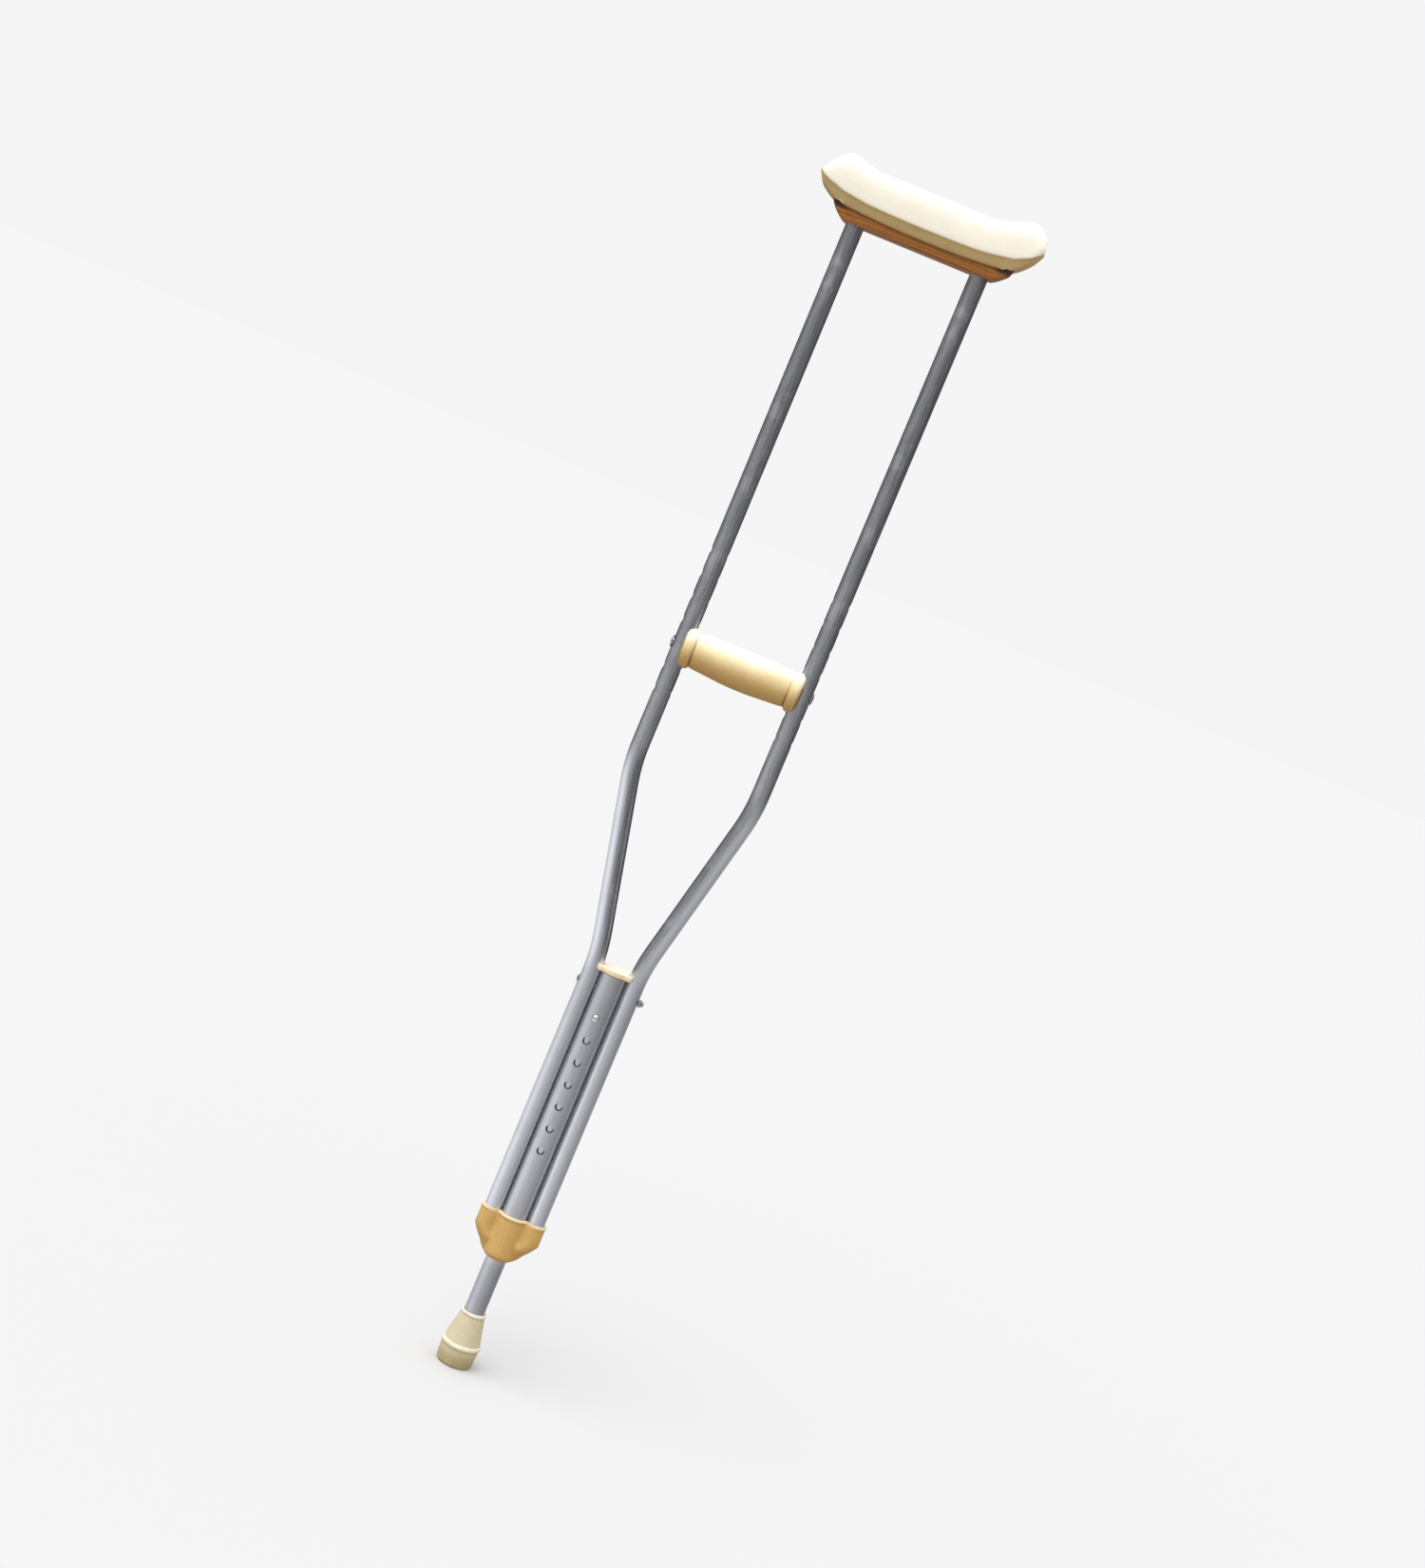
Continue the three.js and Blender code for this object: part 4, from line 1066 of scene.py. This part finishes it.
GRIP_HALF = (  # (x, radius above, radius below) from the middle to the flange
    (0, 20.5, 22.1),
    (8, 20.5, 22.0),
    (16, 20.4, 21.7),
    (24, 20.3, 21.1),
    (32, 20.2, 20.5),
    (40, 20.0, 19.9),
    (46, 19.8, 19.5),
    (50, 19.4, 19.1),
    (51.4, 18.7, 18.6),
    (52.2, 18.5, 18.4),
    (53.0, 19.0, 18.9),
    (53.8, 20.6, 20.4),
    (54.8, 21.4, 21.2),
    (56.5, 21.8, 21.7),
    (60, 21.9, 21.9),
    (62, 21.6, 21.6),
    (63.6, 20.6, 20.6),
    (64.6, 19.2, 19.2),
)


def grip_ring(x, above, below, count=72):
    ring = []
    for i in range(count):
        angle = 2 * math.pi * i / count
        blend = 0.5 + 0.5 * math.sin(angle)
        blend = blend * blend * (3 - 2 * blend)
        r = below + (above - below) * blend
        ring.append(Vector((x, r * math.cos(angle), GRIP_Z + r * math.sin(angle))))
    return ring


def grip():
    stations = [(-x, a, b) for x, a, b in GRIP_HALF[:0:-1]] + list(GRIP_HALF)
    rings = [grip_ring(*station) for station in stations]
    for x in (GRIP_END, 40, 0, -40, -GRIP_END):
        outer = 17.6 if abs(x) == GRIP_END else None
        if outer and x > 0:
            rings.append(grip_ring(x, outer, outer))
        rings.append(grip_ring(x, GRIP_BORE_R, GRIP_BORE_R))
        if outer and x < 0:
            rings.append(grip_ring(x, outer, outer))
    notches = [
        rod(SIDE_R + CLEARANCE, GRIP_Z - 40, GRIP_Z + 40, "Z", (side * UPPER_SPREAD, 0, 0), 56)
        for side, _ in mirrored()
    ]
    rings = [rings]
    built("grip_cover", rings, "handgrip", GRIP, "grip_cover", [notches], True, 40)


grip()

# ---------------------------------------------------------------- carried-over pieces inside

for node, material in {
    "leg_bush": NYLON,
    "button_spring": ZINC,
    "tip_washer": ZINC,
    "grip_core": CORE_WOOD,
    "tube_plug_left": CORE_WOOD,
    "tube_plug_right": CORE_WOOD,
    "saddle_screw_left": ZINC,
    "saddle_screw_right": ZINC,
}.items():
    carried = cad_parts[node]
    carried.data.materials.clear()
    carried.data.materials.append(material)

# ---------------------------------------------------------------- floor, light and camera

FLOOR_HALF = 60.0
FLOOR_COLOUR = (0.565, 0.566, 0.576, 1)
SHADE = 0.913  # linear brightness of the plain pale background


def floor():
    bm = bmesh.new()
    corners = [(-1, -1), (1, -1), (1, 1), (-1, 1)]
    bm.faces.new([bm.verts.new((x * FLOOR_HALF, y * FLOOR_HALF, -0.0002)) for x, y in corners])
    mesh = bpy.data.meshes.new("floor")
    bm.to_mesh(mesh)
    bm.free()
    obj = linked("floor", mesh)
    n = Nodes("floor", Specular_IOR_Level=0.0)
    n.shader.inputs["Roughness"].default_value = 1.0
    n.shader.inputs["Base Color"].default_value = FLOOR_COLOUR
    mesh.materials.append(n.material)
    obj.visible_diffuse = False
    obj.visible_glossy = False
    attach(obj, "leg")  # the tip stands on the floor, however far the leg is drawn out


MATT_SKY = [  # (height from straight down to straight up, colour), as matt surfaces are lit
    (0.0, (0.44, 0.31, 0.14)),
    (0.42, (0.38, 0.28, 0.15)),
    (0.52, (0.86, 0.84, 0.78)),
    (0.70, (1.10, 1.10, 1.10)),
]
GLOSSY_SKY = [  # and as glossy surfaces mirror it
    (0.0, (0.74, 0.75, 0.775)),
    (0.355, (0.78, 0.785, 0.805)),
    (0.383, (0.975, 0.98, 1.0)),
    (0.432, (0.080, 0.081, 0.086)),
    (0.52, (0.095, 0.097, 0.103)),
    (0.62, (0.135, 0.137, 0.143)),
    (0.80, (0.9, 0.9, 0.9)),
]


def sky():
    """Soft light: a bright ceiling and a dim warm underside for matt surfaces, and for glossy ones a bright
    floor that is brightest on the left, with darker walls above it. The camera sees plain pale grey."""
    world = bpy.data.worlds.new("studio")
    bpy.context.scene.world = world
    world.use_nodes = True
    tree = world.node_tree
    tree.nodes.clear()

    def add(kind, inputs, output=0, **settings):
        node = tree.nodes.new("ShaderNode" + kind)
        for key, value in settings.items():
            setattr(node, key, value)
        for key, value in inputs.items():
            if isinstance(value, bpy.types.NodeSocket):
                tree.links.new(value, node.inputs[key])
            else:
                node.inputs[key].default_value = value
        return node.outputs[output]

    def ramp(factor, stops):
        node = tree.nodes.new("ShaderNodeValToRGB")
        node.color_ramp.interpolation = "EASE"
        elements = node.color_ramp.elements
        for position, _ in stops[2:]:
            elements.new(position)
        for element, (position, colour) in zip(elements, stops):
            element.position = position
            element.color = (*colour, 1)
        tree.links.new(factor, node.inputs[0])
        return node.outputs[0]

    way = add("TexCoord", {}, "Generated")
    up = add("MapRange", {0: add("SeparateXYZ", {0: way}, "Z"), 1: -1.0, 2: 1.0})
    left = add("VectorMath", {0: way, 1: (-0.88, -0.475, 0.0)}, "Value", operation="DOT_PRODUCT")
    window = add("MapRange", {0: left, 1: 0.7, 2: 1.0, 3: 0.0, 4: 0.34}, interpolation_type="SMOOTHSTEP")
    left = add("MapRange", {0: left, 1: -1.0, 2: 1.0, 3: 0.46, 4: 1.2})
    left = add("Math", {0: left, 1: window}, operation="ADD")
    matt = ramp(up, MATT_SKY)
    glossy = ramp(up, GLOSSY_SKY)
    glossy = add("Mix", {0: 1.0, 6: glossy, 7: left}, 2, data_type="RGBA", blend_type="MULTIPLY")
    rays = tree.nodes.new("ShaderNodeLightPath").outputs
    colour = add("Mix", {0: rays["Is Glossy Ray"], 6: matt, 7: glossy}, 2, data_type="RGBA")
    pale = (SHADE, SHADE, SHADE, 1)
    colour = add("Mix", {0: rays["Is Camera Ray"], 6: colour, 7: pale}, 2, data_type="RGBA")
    background = add("Background", {0: colour, 1: 1.0})
    tree.links.new(background, tree.nodes.new("ShaderNodeOutputWorld").inputs[0])


def sun(name, strength, angle, azimuth, elevation, colour):
    data = bpy.data.lights.new(name, "SUN")
    data.energy = strength
    data.angle = math.radians(angle)
    data.color = colour
    obj = bpy.data.objects.new(name, data)
    a, e = math.radians(azimuth), math.radians(elevation)
    towards = Vector((math.sin(a) * math.cos(e), -math.cos(a) * math.cos(e), math.sin(e)))
    obj.rotation_mode = "QUATERNION"
    obj.rotation_quaternion = towards.to_track_quat("Z", "Y")
    bpy.context.scene.collection.objects.link(obj)


CAMERA_LENS = 57.6  # for a 36 mm long side
CAMERA_AZIMUTH = 3.16
CAMERA_DISTANCE = 2.5715
CAMERA_HEIGHT = 0.9629
CAMERA_AIM = Vector((0.0172, 0, 0.6759))
CAMERA_ROLL = 22.72


def camera():
    data = bpy.data.cameras.new("camera")
    data.lens = CAMERA_LENS
    data.sensor_width = 36
    obj = bpy.data.objects.new("camera", data)
    bpy.context.scene.collection.objects.link(obj)
    a = math.radians(CAMERA_AZIMUTH)
    place = Vector((CAMERA_DISTANCE * math.sin(a), -CAMERA_DISTANCE * math.cos(a), CAMERA_HEIGHT))
    ahead = (CAMERA_AIM - place).normalized()
    right = ahead.cross(Vector((0, 0, 1))).normalized()
    up = right.cross(ahead)
    roll = math.radians(CAMERA_ROLL)
    across = right * math.cos(roll) + up * math.sin(roll)
    above = up * math.cos(roll) - right * math.sin(roll)
    turn = Matrix((across, above, -ahead)).transposed().to_4x4()
    obj.matrix_world = Matrix.Translation(place) @ turn
    bpy.context.scene.camera = obj


floor()
sky()
sun("key", 2.0, 50, -48, 60, (1.0, 0.99, 0.965))
camera()
bpy.context.scene.view_settings.view_transform = "Standard"
